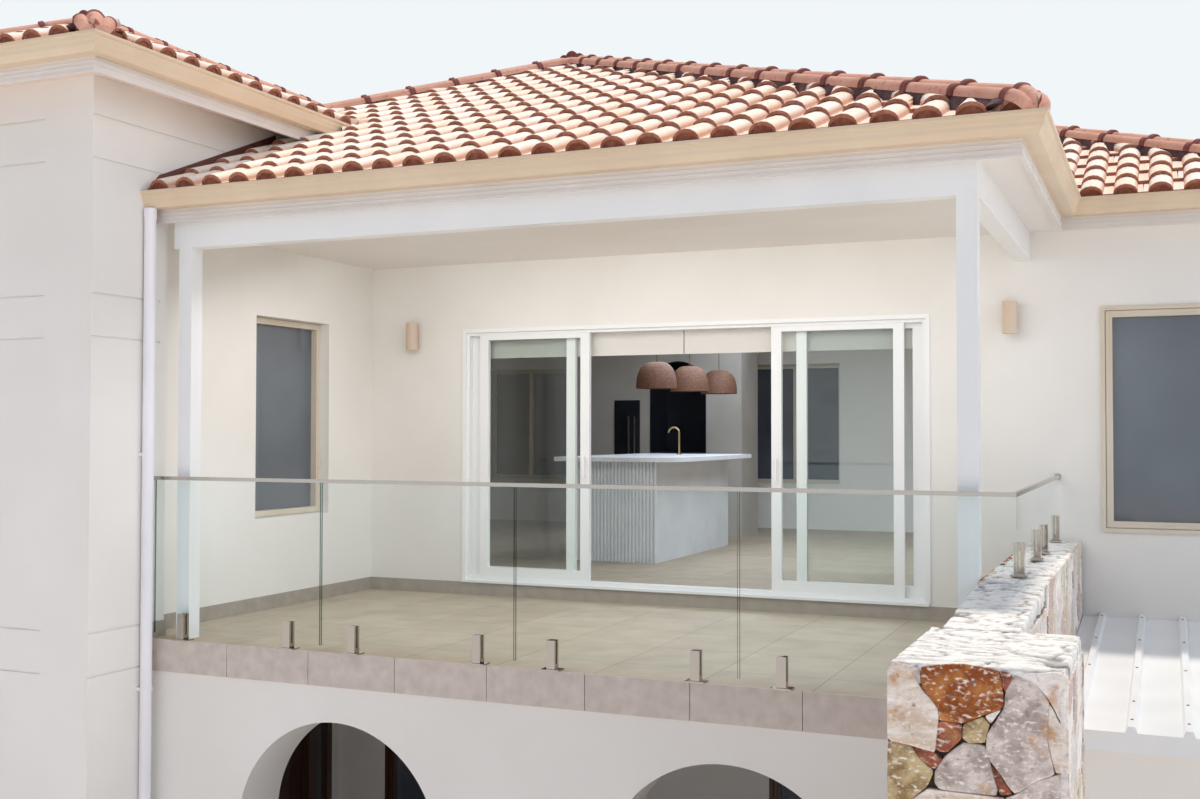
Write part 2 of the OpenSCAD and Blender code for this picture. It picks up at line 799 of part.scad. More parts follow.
module handrail() {
    y_mid = glass_y + glass_t / 2;
    x_mid = side_glass_x + glass_t / 2;
    color("#d4d7d9") on_site() union() {
        block(0, x_mid + rail_w / 2, y_mid - rail_w / 2, y_mid + rail_w / 2, rail_z - rail_w, rail_z);
        block(x_mid - rail_w / 2, x_mid + rail_w / 2, y_mid - rail_w / 2, balcony_d, rail_z - rail_w,
            rail_z);
        block(x_mid - 20, x_mid + 20, balcony_d - 8, balcony_d, rail_z - rail_w - 9, rail_z + 9);
    }
}

// Posts and beams of the balcony roof
module balcony_posts() {
    color(frame_white) on_site() for (x = [left_post_x, stone_x - post_w])
        block(x, x + post_w, beam_y, beam_y + post_w, deck_z, deck_z + beam_h);
}

module eaves_beams() {
    color(frame_white) on_site() union() {
        block(left_post_x - beam_end, stone_x, beam_y, beam_y + beam_w, deck_z + beam_h, ceiling_z);
        block(stone_x - beam_w, stone_x, beam_y, balcony_d, deck_z + beam_h, ceiling_z);
    }
}

module balcony_ceiling() {
    color("#ece6df") on_site() union() {
        block(0, main_x1 - fascia_t, fascia_t, balcony_d, ceiling_z, plate_z);
        block(recess_x, eps, nib_d, balcony_d, ceiling_z, plate_z);
    }
}

module house_ceiling() {
    color("#ece6df") on_site() translate([0, 0, ceiling_z]) linear_extrude(ceiling_t) {
        polygon([[0, balcony_d], [main_x1 - fascia_t, balcony_d], [main_x1 - fascia_t, right_y0 + fascia_t],
            [right_x1 - fascia_t, right_y0 + fascia_t], [right_x1 - fascia_t, rear_y1 - fascia_t],
            [0, rear_y1 - fascia_t]]);
        rect(left_x + wall_t, side_in, front_in, rear_in);
    }
}

// Outlines of the roofs, at the outer face of the fascia
module main_outline(grow = 0) {
    rect(main_x0 - grow, main_x1 + grow, -grow, rear_y1 + grow);
    rect(main_x0 - grow, right_x1 + grow, right_y0 - grow, rear_y1 + grow);
}

module wing_outline(grow = 0) {
    rect(wing_x0 - grow, wing_x1 + grow, wing_y0 - grow, rear_y1 + grow);
}

// Solid hip roof over a rectangle: vertical rim of height h, then four slopes
module hip(x0, x1, y0, y1, z, h) {
    rise_x = (x1 - x0) / 2 * slope;
    rise_y = (y1 - y0) / 2 * slope;
    translate([0, 0, z]) intersection() {
        slab_xz(y0, y1) polygon([[x0, 0], [x1, 0], [x1, h], [(x0 + x1) / 2, h + rise_x], [x0, h]]);
        slab_yz(x0, x1) polygon([[y0, 0], [y1, 0], [y1, h], [(y0 + y1) / 2, h + rise_y], [y0, h]]);
    }
}

// Everything under the main roof's surface, inside the fascia line and pulled in by inset
module main_solid(inset, h, z = plate_z) {
    hip(main_x0 + inset, main_x1 - inset, inset, rear_y1 - inset, z, h);
    hip(main_x0 + inset, right_x1 - inset, right_y0 + inset, rear_y1 - inset, z, h);
}

module wing_solid(inset, h, z = wing_top_z) {
    hip(wing_x0 + inset, wing_x1 - inset, wing_y0 + inset, rear_y1 - inset, z, h);
}

// Spans of the three roofs, and the ends of their ridges
main_span = (main_x1 - main_x0) / 2;
side_span = (rear_y1 - right_y0) / 2;
wing_span = (wing_x1 - wing_x0) / 2;
main_ridge_z = plate_z + rim_h + main_span * slope;
side_ridge_z = plate_z + rim_h + side_span * slope;
wing_ridge_z = wing_top_z + rim_h + wing_span * slope;
main_front = [ridge_x, main_span, main_ridge_z];
main_rear = [ridge_x, rear_y1 - main_span, main_ridge_z];
side_end = [right_x1 - side_span, right_y0 + side_span, side_ridge_z];
wing_front = [wing_x0 + wing_span, wing_y0 + wing_span, wing_ridge_z];
wing_rear = [wing_x0 + wing_span, rear_y1 - wing_span, wing_ridge_z];
// Run of the main roof's left hips down to the valley along the wing
valley_run = (main_ridge_z - wing_top_z - rim_h + (ridge_x - wing_x1) * slope) / (2 * slope);
// Run of the short hip from the main ridge down to the side ridge
side_drop = main_span - side_span;
side_start = [ridge_x + side_drop, right_y0 + side_span, side_ridge_z];

// Height of the flat underside of the tile lip above the roof's seat
lip_up = rim_h - tile_out * slope - tile_lip;

// Where the tiles' rolls stop: short of a ridge, of a hip and of a valley, each measured in plan along X or Y
at_ridge = cap_r + cap_roll + 4;
at_hip = at_ridge * sqrt(2);
at_valley = 60;
// Line on which the main front slope meets the wing's right slope, as x + y
valley_sum = wing_rise / slope + wing_x1;
valley_x = (valley_sum + main_x0) / 2;
beside_x = wing_x1 + gutter_w + 12;
// Height up the slope at which the rolls would reach the wing's fascia
beside_y = (wing_rise - fascia_h - rim_h - tile_h / cos(pitch) - 12) / slope;

// One roll of the tiles, as shares of its width and height
roll = [[-0.475, -0.02], [-0.4, 0.44], [-0.225, 0.84], [0, 1], [0.225, 0.84], [0.4, 0.44], [0.475, -0.02]];

// Rolls up one slope, over the outline in plan that is its child. The slope is turned from facing
// the front, eave is its edge's place on the way up, and the rolls reach from u0 to u1 along the edge
module tile_rolls(turn, eave, z, u0, u1, run) {
    m = floor(u0 / tile_w);
    n = ceil(u1 / tile_w);
    len = run / cos(pitch);
    intersection() {
        rotate([0, 0, turn]) translate([0, eave - tile_out, z + rim_h - tile_out * slope])
            rotate([90 + pitch, 0, 0]) translate([0, 0, -len]) linear_extrude(len + 60)
                polygon(concat([for (k = [m : n - 1]) each [for (p = roll)
                    [(k + 0.5 + p[0]) * tile_w, p[1] * tile_h]]], [[n * tile_w, -8], [m * tile_w, -8]]));
        translate([0, 0, z]) linear_extrude(wing_ridge_z) children();
    }
}

// Left edge of the main front slope's rolls, beside the wing: child of the front and, mirrored, of the rear
beside_wing = [[valley_x + (at_hip + at_valley) / 2, (valley_sum - main_x0 - at_hip + at_valley) / 2],
    [beside_x, valley_sum - beside_x + at_valley], [beside_x, beside_y], [12, beside_y], [12, -tile_out]];

module main_rolls() {
    top_y = side_end[1];
    tile_rolls(0, 0, plate_z, 0, main_x1 + tile_out, main_span + tile_out)
        polygon(concat([[main_x1 + tile_out - at_hip, -tile_out], [ridge_x, main_span - at_hip]], beside_wing));
    tile_rolls(90, -main_x1, plate_z, -tile_out, top_y, main_span + tile_out)
        polygon([[main_x1 + tile_out, -tile_out + at_hip],
            [main_x1 + tile_out, right_y0 - tile_out - at_valley],
            [right_y0 + main_x1 - at_valley - top_y + at_ridge + 14, top_y - at_ridge - 14],
            [top_y - at_ridge - 14 - rear_y1 + main_x1 + at_hip, top_y - at_ridge - 14],
            [ridge_x + at_ridge, rear_y1 - main_span + at_ridge - at_hip],
            [ridge_x + at_ridge, main_span - at_ridge + at_hip]]);
    tile_rolls(0, right_y0, plate_z, side_start[0], right_x1 + tile_out, side_span + tile_out)
        polygon([[main_x1 + tile_out + at_valley, right_y0 - tile_out],
            [right_x1 + tile_out - at_hip, right_y0 - tile_out],
            [side_end[0] + at_ridge - at_hip, top_y - at_ridge],
            [side_start[0] + at_ridge + at_valley, top_y - at_ridge]]);
    tile_rolls(90, -right_x1, plate_z, right_y0 - tile_out, rear_y1 + tile_out, side_span + tile_out)
        polygon([[right_x1 + tile_out, right_y0 - tile_out + at_hip],
            [right_x1 + tile_out, rear_y1 + tile_out - at_hip], [side_end[0] + at_hip, top_y]]);
    tile_rolls(180, -rear_y1, plate_z, -right_x1 - tile_out, 0, main_span + tile_out)
        translate([0, rear_y1]) mirror([0, 1]) polygon(concat([[right_x1 + tile_out - at_hip, -tile_out],
            [side_end[0] + at_ridge - at_hip, side_span - at_ridge],
            [side_start[0] + at_ridge - at_hip, side_span - at_ridge], [ridge_x, main_span - at_hip]],
            beside_wing));
    tile_rolls(-90, main_x0, plate_z, -rear_y1, 0, main_span)
        polygon([[valley_x + at_valley, valley_x + at_valley - main_x0 + at_hip],
            [ridge_x - at_ridge, main_span - at_ridge + at_hip],
            [ridge_x - at_ridge, rear_y1 - main_span + at_ridge - at_hip],
            [valley_x + at_valley, rear_y1 - valley_x - at_valley + main_x0 - at_hip]]);
}

module wing_rolls() {
    top_x = wing_front[0];
    span = wing_span + tile_out;
    edge = [wing_x0 - tile_out, wing_x1 + tile_out, wing_y0 - tile_out, rear_y1 + tile_out];
    tile_rolls(0, wing_y0, wing_top_z, edge[0], edge[1], span)
        polygon([[edge[0] + at_hip, edge[2]], [edge[1] - at_hip, edge[2]], [top_x, edge[2] + span - at_hip]]);
    tile_rolls(180, -rear_y1, wing_top_z, -edge[1], -edge[0], span)
        polygon([[edge[0] + at_hip, edge[3]], [edge[1] - at_hip, edge[3]], [top_x, edge[3] - span + at_hip]]);
    tile_rolls(-90, wing_x0, wing_top_z, -edge[3], -edge[2], span)
        polygon([[edge[0], edge[2] + at_hip], [edge[0], edge[3] - at_hip],
            [top_x - at_ridge, edge[3] - span + at_ridge - at_hip],
            [top_x - at_ridge, edge[2] + span - at_ridge + at_hip]]);
    tile_rolls(90, -wing_x1, wing_top_z, edge[2], edge[3], span) difference() {
        polygon([[edge[1], edge[2] + at_hip], [edge[1], valley_sum - edge[1] - at_valley],
            [valley_x - at_valley, valley_sum - valley_x],
            [valley_x - at_valley, rear_y1 - valley_sum + valley_x],
            [edge[1], rear_y1 - valley_sum + edge[1] + at_valley], [edge[1], edge[3] - at_hip],
            [top_x + at_ridge, edge[3] - span + at_ridge - at_hip],
            [top_x + at_ridge, edge[2] + span - at_ridge + at_hip]]);
        // Clear of the ends of the main roof's hip caps
        for (y = [valley_sum - valley_x, rear_y1 - valley_sum + valley_x])
            rect(valley_x - 210, valley_x + 210, y - 210, y + 210);
    }
}

module main_roof() {
    color("#c2805c") on_site() union() {
        difference() {
            union() {
                main_solid(-tile_out, tile_lip, plate_z + lip_up);
                translate([0, 0, plate_z]) linear_extrude(lip_up + eps) main_outline();
            }
            main_solid(seat_w, eps, plate_z - eps);
            block(wing_x0 * 2, 0, wing_y0 * 2, rear_y1 * 2, 0, wing_top_z + eps);
            wing_solid(0, rim_h);
        }
        main_rolls();
    }
}

module wing_roof() {
    color("#c2805c") on_site() union() {
        difference() {
            union() {
                wing_solid(-tile_out, tile_lip, wing_top_z + lip_up);
                translate([0, 0, wing_top_z]) linear_extrude(lip_up + eps) wing_outline();
            }
            wing_solid(seat_w, eps, wing_top_z - eps);
            main_solid(0, rim_h);
        }
        wing_rolls();
    }
}

soffit_t = 20;

module wing_soffit() {
    color("#ead9cc") on_site() difference() {
        translate([0, 0, wing_top_z - soffit_t]) linear_extrude(soffit_t) difference() {
            wing_outline(-fascia_t);
            rect(left_x, 0, -wing_out, house_d);
        }
        main_solid(0, rim_h);
    }
}

// Lines on the face of a fascia: height above its foot, height of the line
fascia_lines = [[0, 12], [34, 5], [60, 5]];
fascia_line_t = 4;

// Ring of fascia below z with its raised lines, round the outline drawn by its child 0; $grow widens it
module fascia_ring(z) {
    translate([0, 0, z - fascia_h]) {
        linear_extrude(fascia_h) difference() {
            let ($grow = 0) children();
            let ($grow = -fascia_t) children();
        }
        for (l = fascia_lines) translate([0, 0, l[0]]) linear_extrude(l[1]) difference() {
            let ($grow = fascia_line_t) children();
            let ($grow = -fascia_t / 2) children();
        }
    }
}

module fascias() {
    color("#e3e3e3") on_site() {
        difference() {
            fascia_ring(plate_z) main_outline($grow);
            block(main_x0 * 2, 0, -house_d, 2 * house_d, 0, wing_top_z);
        }
        difference() {
            fascia_ring(wing_top_z) wing_outline($grow);
            main_solid(0, rim_h);
        }
    }
}

// Gutter profile from its floor's back edge up to its front lip: x outwards from the fascia, y up
gutter_back = gutter_h - 25;
gutter_face = [[0, 0], [gutter_w * 0.62, 0], [gutter_w * 0.8, gutter_h * 0.3],
    [gutter_w * 0.9, gutter_h * 0.78], [gutter_w, gutter_h * 0.84], [gutter_w, gutter_h]];

// Closed end of a gutter
module gutter_outer() {
    polygon(concat(gutter_face, [[gutter_w - gutter_t, gutter_h], [gutter_w * 0.8, gutter_back],
        [0, gutter_back]]));
}

module gutter_section() {
    difference() {
        polygon(concat(gutter_face, [[gutter_t, gutter_h], [gutter_t, gutter_back], [0, gutter_back]]));
        polygon([[gutter_t, gutter_t], [gutter_w * 0.62 - gutter_t * 0.4, gutter_t],
            [gutter_w * 0.8 - gutter_t, gutter_h * 0.3], [gutter_w * 0.9 - gutter_t, gutter_h * 0.8],
            [gutter_w - gutter_t, gutter_h * 0.9], [gutter_w - gutter_t, gutter_h + 1],
            [gutter_t, gutter_h + 1]]);
    }
}

// Straight gutter from a to b, with the house on its left; mitres of 45 degrees, 1 outwards, -1 inwards
module gutter_run(a, b, z, mitre_a, mitre_b) {
    d = b - a;
    len = norm(d);
    translate([a[0], a[1], z]) rotate([0, 0, atan2(d[1], d[0])]) difference() {
        translate([-gutter_w, 0, 0]) rotate([90, 0, 90]) linear_extrude(len + 2 * gutter_w)
            mirror([1, 0]) gutter_section();
        for (end = [[0, mitre_a, 1], [len, mitre_b, -1]])
            translate([end[0], 0, -gutter_h]) rotate([0, 0, -end[2] * end[1] * 45])
                translate([end[2] > 0 ? -4 * gutter_w : 0, -4 * gutter_w, 0])
                    cube([4 * gutter_w, 8 * gutter_w, 3 * gutter_h]);
    }
    // Stop ends
    for (end = [[0, mitre_a], [len - gutter_t, mitre_b]]) if (end[1] == 0)
        translate([a[0], a[1], z]) rotate([0, 0, atan2(d[1], d[0])]) translate([end[0], 0, 0])
            rotate([90, 0, 90]) linear_extrude(gutter_t) mirror([1, 0]) gutter_outer();
}

gutter_up = 85 - fascia_h;
gutter_z = plate_z + gutter_up;
wing_gutter_z = gutter_z + wing_rise;

module gutters() {
    color("#cdb898") on_site() {
        gutter_run([0, 0], [main_x1, 0], gutter_z, 0, 1);
        gutter_run([main_x1, 0], [main_x1, right_y0], gutter_z, 1, -1);
        gutter_run([main_x1, right_y0], [right_x1, right_y0], gutter_z, -1, 1);
        gutter_run([right_x1, right_y0], [right_x1, rear_y1], gutter_z, 1, 1);
        gutter_run([right_x1, rear_y1], [0, rear_y1], gutter_z, 1, 0);
        difference() {
            union() {
                gutter_run([wing_x0, wing_y0], [wing_x1, wing_y0], wing_gutter_z, 1, 1);
                gutter_run([wing_x1, wing_y0], [wing_x1, rear_y1], wing_gutter_z, 1, 1);
                gutter_run([wing_x1, rear_y1], [wing_x0, rear_y1], wing_gutter_z, 1, 1);
                gutter_run([wing_x0, rear_y1], [wing_x0, wing_y0], wing_gutter_z, 1, 1);
            }
            main_solid(-tile_out, rim_h - tile_out * slope);
        }
    }
}

clip_h = 22;
clip_t = 4;
pipe_x = pipe_r + clip_t + 1;
pipe_y = -80;

// Downpipe with its outlet under the gutter and its clips
module downpipe() {
    color(frame_white) on_site() {
        translate([pipe_x, pipe_y, 0]) {
            cylinder(gutter_z, r = pipe_r, $fn = 48);
            translate([0, 0, gutter_z - 70]) cylinder(66, r = pipe_r + 4, $fn = 48);
            for (z = [base_h + 350, deck_z - 310, deck_z + 1150]) translate([0, 0, z]) {
                cylinder(clip_h, r = pipe_r + clip_t, $fn = 48);
                translate([-pipe_x, -pipe_r, 0]) cube([pipe_r / 2, 2 * pipe_r, clip_h]);
            }
        }
    }
}

// Caps along hips and ridges: two rolls at the lower end of each cap, then its body
function cap_rolls(y) = [[cap_r + cap_roll, y], [cap_r + cap_roll, y + 34], [cap_r + 4, y + 42],
    [cap_r + cap_roll - 4, y + 50], [cap_r + cap_roll - 4, y + 72], [cap_r, y + 78]];

// Half outline of the caps that cover a length
function cap_profile(len) = let (n = max(1, round(len / cap_len)), step = len / n) concat([[0, 0]],
    [for (i = [0 : n - 1]) each cap_rolls(i * step)], [[cap_r - 4, len], [0, len]]);

// Row of caps from the lower end a to the upper end b, with a nose of its own length at the lower end
module cap_row(a, b, nose = 0) {
    d = b - a;
    translate(a) rotate([0, 90 - atan2(d[2], norm([d[0], d[1]])), atan2(d[1], d[0])]) union() {
        rotate_extrude($fn = 64) polygon(cap_profile(norm(d)));
        if (nose > 0) translate([0, 0, -nose]) cylinder(nose + eps, cap_r - 26, cap_r - 2, $fn = 64);
    }
}

cap_gap = 0.5;
// Thickness of the mortar bed between the roof and its caps
cap_bed = 0.1;
cap_nose = 60;
ridge_over = 110;

// Row of caps up one hip to the end p of a ridge; sx and sy say which way the hip falls
module hip_row(p, sx, sy, run, nose) {
    difference() {
        cap_row([p[0] + sx * run, p[1] + sy * run, p[2] - run * slope], p, nose);
        translate([p[0] + (sx > 0 ? cap_gap - house_d : -cap_gap), p[1] - house_d, 0])
            cube([house_d, 2 * house_d, 2 * wing_ridge_z]);
    }
}

// Row of caps on a ridge from a to b, with the hips drawn by its children cut clear of it
module ridge_row(a, b) {
    d = b - a;
    union() {
        difference() {
            union() children();
            translate(a) rotate([0, 90, atan2(d[1], d[0])]) translate([0, 0, -2])
                cylinder(norm(d) + 4, r = cap_r + cap_roll + cap_gap, $fn = 64);
        }
        cap_row(a, b);
    }
}

eaves_run = tile_out - 40;

// Space below the caps' lower ends, down from the gutters' top edge
module under_caps(z) {
    block(wing_x0 - 500, right_x1 + 500, wing_y0 - 500, rear_y1 + 500, z - 900,
        z + max(lip_up, gutter_h + gutter_up) + 2);
}

module main_hip_caps() {
    over = [0, ridge_over, 0];
    color("#b5664a") on_site() difference() {
        union() {
            ridge_row(main_front - over, main_rear + over) {
                hip_row(main_front, 1, -1, main_span + eaves_run, cap_nose);
                hip_row(main_front, -1, -1, valley_run + 60, 0);
                hip_row(main_rear, -1, 1, valley_run + 60, 0);
                hip_row(main_rear, 1, 1, side_drop, 0);
            }
            ridge_row(side_end + [ridge_over, 0, 0], side_start - [80, 0, 0])
                for (sy = [-1, 1]) hip_row(side_end, 1, sy, side_span + eaves_run, cap_nose);
        }
        main_solid(-tile_out - cap_bed, tile_lip + cap_bed, plate_z + lip_up);
        wing_solid(-tile_out - cap_bed, tile_lip + cap_bed, wing_top_z + lip_up);
        under_caps(plate_z);
    }
}

module wing_hip_caps() {
    over = [0, ridge_over, 0];
    color("#b5664a") on_site() difference() {
        ridge_row(wing_front - over, wing_rear + over)
            for (sx = [-1, 1]) {
                hip_row(wing_front, sx, -1, wing_span + eaves_run, cap_nose);
                hip_row(wing_rear, sx, 1, wing_span + eaves_run, cap_nose);
            }
        wing_solid(-tile_out - cap_bed, tile_lip + cap_bed, wing_top_z + lip_up);
        under_caps(wing_top_z);
    }
}

module roof_flashing() {
    flash_h = 90;
    z0 = plate_z + rim_h + 2;
    y0 = -tile_out;
    y1 = (wing_top_z - soffit_t - z0 - flash_h) / slope - 5;
    color("#6e4038") on_site() slab_yz(0, 4)
        polygon([[y0, z0 + y0 * slope], [y1, z0 + y1 * slope], [y1, z0 + y1 * slope + flash_h],
            [y0 + 110, z0 + flash_h]]);
}

low_roof_x1 = house_w + 50;
low_sheet_t = 6;
low_roof_len = (balcony_d + 60) / cos(low_roof_fall);

// Ribbed sheet on the low roof, drawn flat from the house wall and tilted by its fall
module metal_roof() {
    count = floor((low_roof_x1 - stone_out) / rib_pitch);
    color("#e9ecef") on_site() {
        translate([0, balcony_d - 1, deck_z + low_roof_h]) rotate([low_roof_fall, 0, 0]) {
            block(stone_out, low_roof_x1, -low_roof_len, 0, -low_sheet_t, 0);
            for (i = [1 : count]) translate([stone_out + (i - 0.5) * rib_pitch, -1, -eps])
                rotate([90, 0, 0]) linear_extrude(low_roof_len - 1)
                    polygon([[-27, 0], [27, 0], [15, rib_h + eps], [-15, rib_h + eps]]);
        }
        block(stone_out, low_roof_x1, -30, 0, low_wall_top - 40, low_eave_z - low_sheet_t - 2);
    }
}

// Kitchen seen through the sliding door
kitchen_wall_x = [-820, 1400];
kitchen_wall_t = 650;
niche_x = 270 + niche_r;
niche_d = 560;
niche_spring = deck_z + 1786;
bench_z = deck_z + 1050;
tower_x = [-180, 142];
tower_top = deck_z + 1680;

module kitchen_wall() {
    color("#b9b4aa") on_site() difference() {
        slab_xz(kitchen_y, kitchen_y + kitchen_wall_t)
            rect(kitchen_wall_x[0], kitchen_wall_x[1], floor_z, ceiling_z);
        slab_xz(kitchen_y - eps, kitchen_y + niche_d) {
            rect(niche_x - niche_r, niche_x + niche_r, bench_z, niche_spring);
            translate([niche_x, niche_spring]) circle(niche_r, $fn = 64);
        }
        block(tower_x[0], tower_x[1], kitchen_y - eps, kitchen_y + niche_d, floor_z, tower_top);
    }
}

// Tall dark unit set in the kitchen's wall, with two bar handles
module kitchen_tower() {
    mid = (tower_x[0] + tower_x[1]) / 2;
    bar_z = tower_top - 190;
    color("#14161c") on_site() {
        block(tower_x[0] + 1, tower_x[1] - 1, kitchen_y - 20, kitchen_y + niche_d, floor_z, tower_top - 1);
        for (x = [mid + 35, mid + 110]) {
            block(x - 9, x + 9, kitchen_y - 62, kitchen_y - 48, bar_z - 900, bar_z);
            for (z = [bar_z - 860, bar_z - 60])
                block(x - 7, x + 7, kitchen_y - 49, kitchen_y - 20 + eps, z, z + 20);
        }
    }
}

worktop_z = deck_z + worktop_h;
worktop_x = [island_x - 100, island_x + island_w + 250];
worktop_y = [island_y - 200, island_y + island_l + 30];

module kitchen_island() {
    flutes = floor(island_w / (2 * flute_r + 1));
    step = (island_w - 2 * flute_r) / (flutes - 1);
    color("#dcdcda") on_site() {
        block(island_x, island_x + island_w, island_y, island_y + island_l, floor_z, worktop_z - worktop_t);
        for (i = [0 : flutes - 1])
            translate([island_x + flute_r + i * step, island_y, floor_z])
                cylinder(worktop_z - worktop_t - floor_z, r = flute_r, $fn = 24);
        translate([0, 0, worktop_z - worktop_t]) linear_extrude(worktop_t) union() {
            rect(worktop_x[0], worktop_x[1] - worktop_r, worktop_y[0], worktop_y[1]);
            rect(worktop_x[1] - worktop_r - eps, worktop_x[1], worktop_y[0] + worktop_r, worktop_y[1]);
            intersection() {
                translate([worktop_x[1] - worktop_r, worktop_y[0] + worktop_r]) circle(worktop_r, $fn = 64);
                rect(worktop_x[1] - worktop_r - eps, worktop_x[1], worktop_y[0],
                    worktop_y[0] + worktop_r + eps);
            }
        }
    }
}

tap_x = island_x + 525;
tap_y = island_y + 1490;
tap_h = 290;
spout_r = 58;

module kitchen_tap() {
    top = tap_h - spout_r - 9;
    color("#c8b98a") on_site() translate([tap_x, tap_y, worktop_z]) {
        cylinder(12, r = 24, $fn = 32);
        cylinder(top + 2, r = 11, $fn = 32);
        translate([-spout_r, 0, top]) rotate([90, 0, 0])
            rotate_extrude(angle = 180, $fn = 48) translate([spout_r, 0]) circle(9, $fn = 24);
    }
}

shade_t = 8;

// Half outline of a shade from its rim to its top, pulled in by t
function shade_outline(t) = [for (i = [0 : 9]) let (a = i * 10)
    [(shade_d / 2 - t) * pow(cos(a), 0.62), (shade_h - t) * pow(sin(a), 0.9)]];

module pendant_lamps() {
    y0 = island_y + 460;
    color("#9c6b4c") on_site() for (i = [0 : 2])
        translate([island_x + 670 + 15 * i, y0 + i * shade_pitch, deck_z + shade_z]) {
            rotate_extrude($fn = 48) difference() {
                polygon(concat([[0, 0]], shade_outline(0), [[0, shade_h]]));
                polygon(concat([[0, -eps], [shade_d / 2 - shade_t, -eps]], shade_outline(shade_t),
                    [[0, shade_h - shade_t]]));
            }
            translate([0, 0, shade_h - shade_t / 2])
                cylinder(ceiling_h - shade_z - shade_h + shade_t / 2, r = 4, $fn = 16);
        }
}

ground_floor();
arcade_wall();
porch_back_wall();
porch_side_walls();
entry_frame();
entry_door_leaf();
entry_door_handle();
porch_windows();
wing_side_wall();
wing_front_wall();
left_wall();
rear_wall();
right_wall();
low_walls();
upper_floor();
balcony_slab();
edge_tiles();
skirting_tiles();
stone_wall();
back_wall();
sliding_door_frame();
sliding_door_panels();
sliding_door_glass();
door_blinds();
window_frames();
window_glass();
wall_lights();
balustrade_glass();
glass_spigots();
handrail();
balcony_posts();
eaves_beams();
balcony_ceiling();
house_ceiling();
wing_soffit();
fascias();
gutters();
downpipe();
main_roof();
wing_roof();
main_hip_caps();
wing_hip_caps();
roof_flashing();
metal_roof();
kitchen_wall();
kitchen_tower();
kitchen_island();
kitchen_tap();
pendant_lamps();
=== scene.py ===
import math

import bmesh
import bpy
import numpy as np
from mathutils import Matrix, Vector, geometry, noise


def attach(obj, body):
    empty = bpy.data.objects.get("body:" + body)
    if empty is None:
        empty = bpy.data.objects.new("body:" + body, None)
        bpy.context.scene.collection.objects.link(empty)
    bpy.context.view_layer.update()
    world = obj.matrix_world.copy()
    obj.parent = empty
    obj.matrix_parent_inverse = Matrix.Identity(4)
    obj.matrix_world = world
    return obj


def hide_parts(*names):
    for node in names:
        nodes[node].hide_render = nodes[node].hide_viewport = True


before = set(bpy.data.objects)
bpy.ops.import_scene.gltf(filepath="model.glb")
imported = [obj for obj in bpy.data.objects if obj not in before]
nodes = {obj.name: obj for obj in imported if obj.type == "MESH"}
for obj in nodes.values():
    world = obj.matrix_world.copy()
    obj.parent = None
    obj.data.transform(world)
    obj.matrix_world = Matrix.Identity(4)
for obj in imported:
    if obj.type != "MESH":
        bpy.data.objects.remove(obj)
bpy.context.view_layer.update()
print("frame loaded:", len(nodes), "nodes")

# the part's own site lines, in metres: x from the wing's wall, y from the balcony's edge
site = {"centreX": 1.245, "centreY": 4.589, "deck": 2.9}


def toPart(x, y, z):
    return Vector((x - site["centreX"], y - site["centreY"], z))


def hexColour(code):
    values = [int(code[i:i + 2], 16) / 255 for i in (1, 3, 5)]
    return tuple(v / 12.92 if v <= 0.04045 else ((v + 0.055) / 1.055) ** 2.4 for v in values) + (1.0,)


def addNode(tree, kind, settings=None, inputs=None):
    # one node; each input takes a socket, a value or a hex colour
    node = tree.nodes.new(kind)
    for name, value in (settings or {}).items():
        setattr(node, name, value)
    for key, value in (inputs or {}).items():
        if isinstance(value, bpy.types.NodeSocket):
            tree.links.new(value, node.inputs[key])
        elif isinstance(value, str) and value.startswith("#"):
            node.inputs[key].default_value = hexColour(value)
        else:
            node.inputs[key].default_value = value
    return node


def addObject(name, data):
    thing = bpy.data.objects.new(name, data)
    bpy.context.scene.collection.objects.link(thing)
    return thing


def startMaterial(name, roughness, colour="#ffffff", **shaderValues):
    material = bpy.data.materials.new(name)
    material.use_nodes = True
    tree = material.node_tree
    tree.nodes.clear()
    shader = addNode(tree, "ShaderNodeBsdfPrincipled", inputs={"Base Color": colour, "Roughness": roughness})
    for key, value in shaderValues.items():
        shader.inputs[key.replace("_", " ")].default_value = value
    addNode(tree, "ShaderNodeOutputMaterial", inputs={"Surface": shader.outputs["BSDF"]})
    place = addNode(tree, "ShaderNodeTexCoord").outputs["Object"]
    return material, tree, shader, place


# settings of the mixing nodes: their colours are inputs 6 and 7, their result is output 2
colourMix = {"data_type": "RGBA"}
colourMultiply = {"data_type": "RGBA", "blend_type": "MULTIPLY"}


def cloudy(tree, place, scale, low, high, detail=4, stretch=(1, 1, 1), sharp=(0.3, 0.7)):
    # two tones that drift into each other, as weather and hand work leave them
    moved = addNode(tree, "ShaderNodeMapping", inputs={"Vector": place, "Scale": stretch})
    grain = addNode(tree, "ShaderNodeTexNoise",
                    inputs={"Vector": moved.outputs["Vector"], "Scale": scale, "Detail": detail})
    ramp = addNode(tree, "ShaderNodeMapRange",
                   inputs={"Value": grain.outputs["Fac"], "From Min": sharp[0], "From Max": sharp[1]})
    return addNode(tree, "ShaderNodeMix", colourMix, {"Factor": ramp.outputs["Result"], 6: low, 7: high}).outputs[2]


def relief(tree, shader, height, depth):
    # bumps, their depth in metres
    bump = addNode(tree, "ShaderNodeBump", inputs={"Height": height, "Distance": depth, "Strength": 1.0})
    tree.links.new(bump.outputs["Normal"], shader.inputs["Normal"])


def roughen(tree, shader, place, scale, depth, detail=3):
    grain = addNode(tree, "ShaderNodeTexNoise", inputs={"Vector": place, "Scale": scale, "Detail": detail})
    relief(tree, shader, grain.outputs["Fac"], depth)


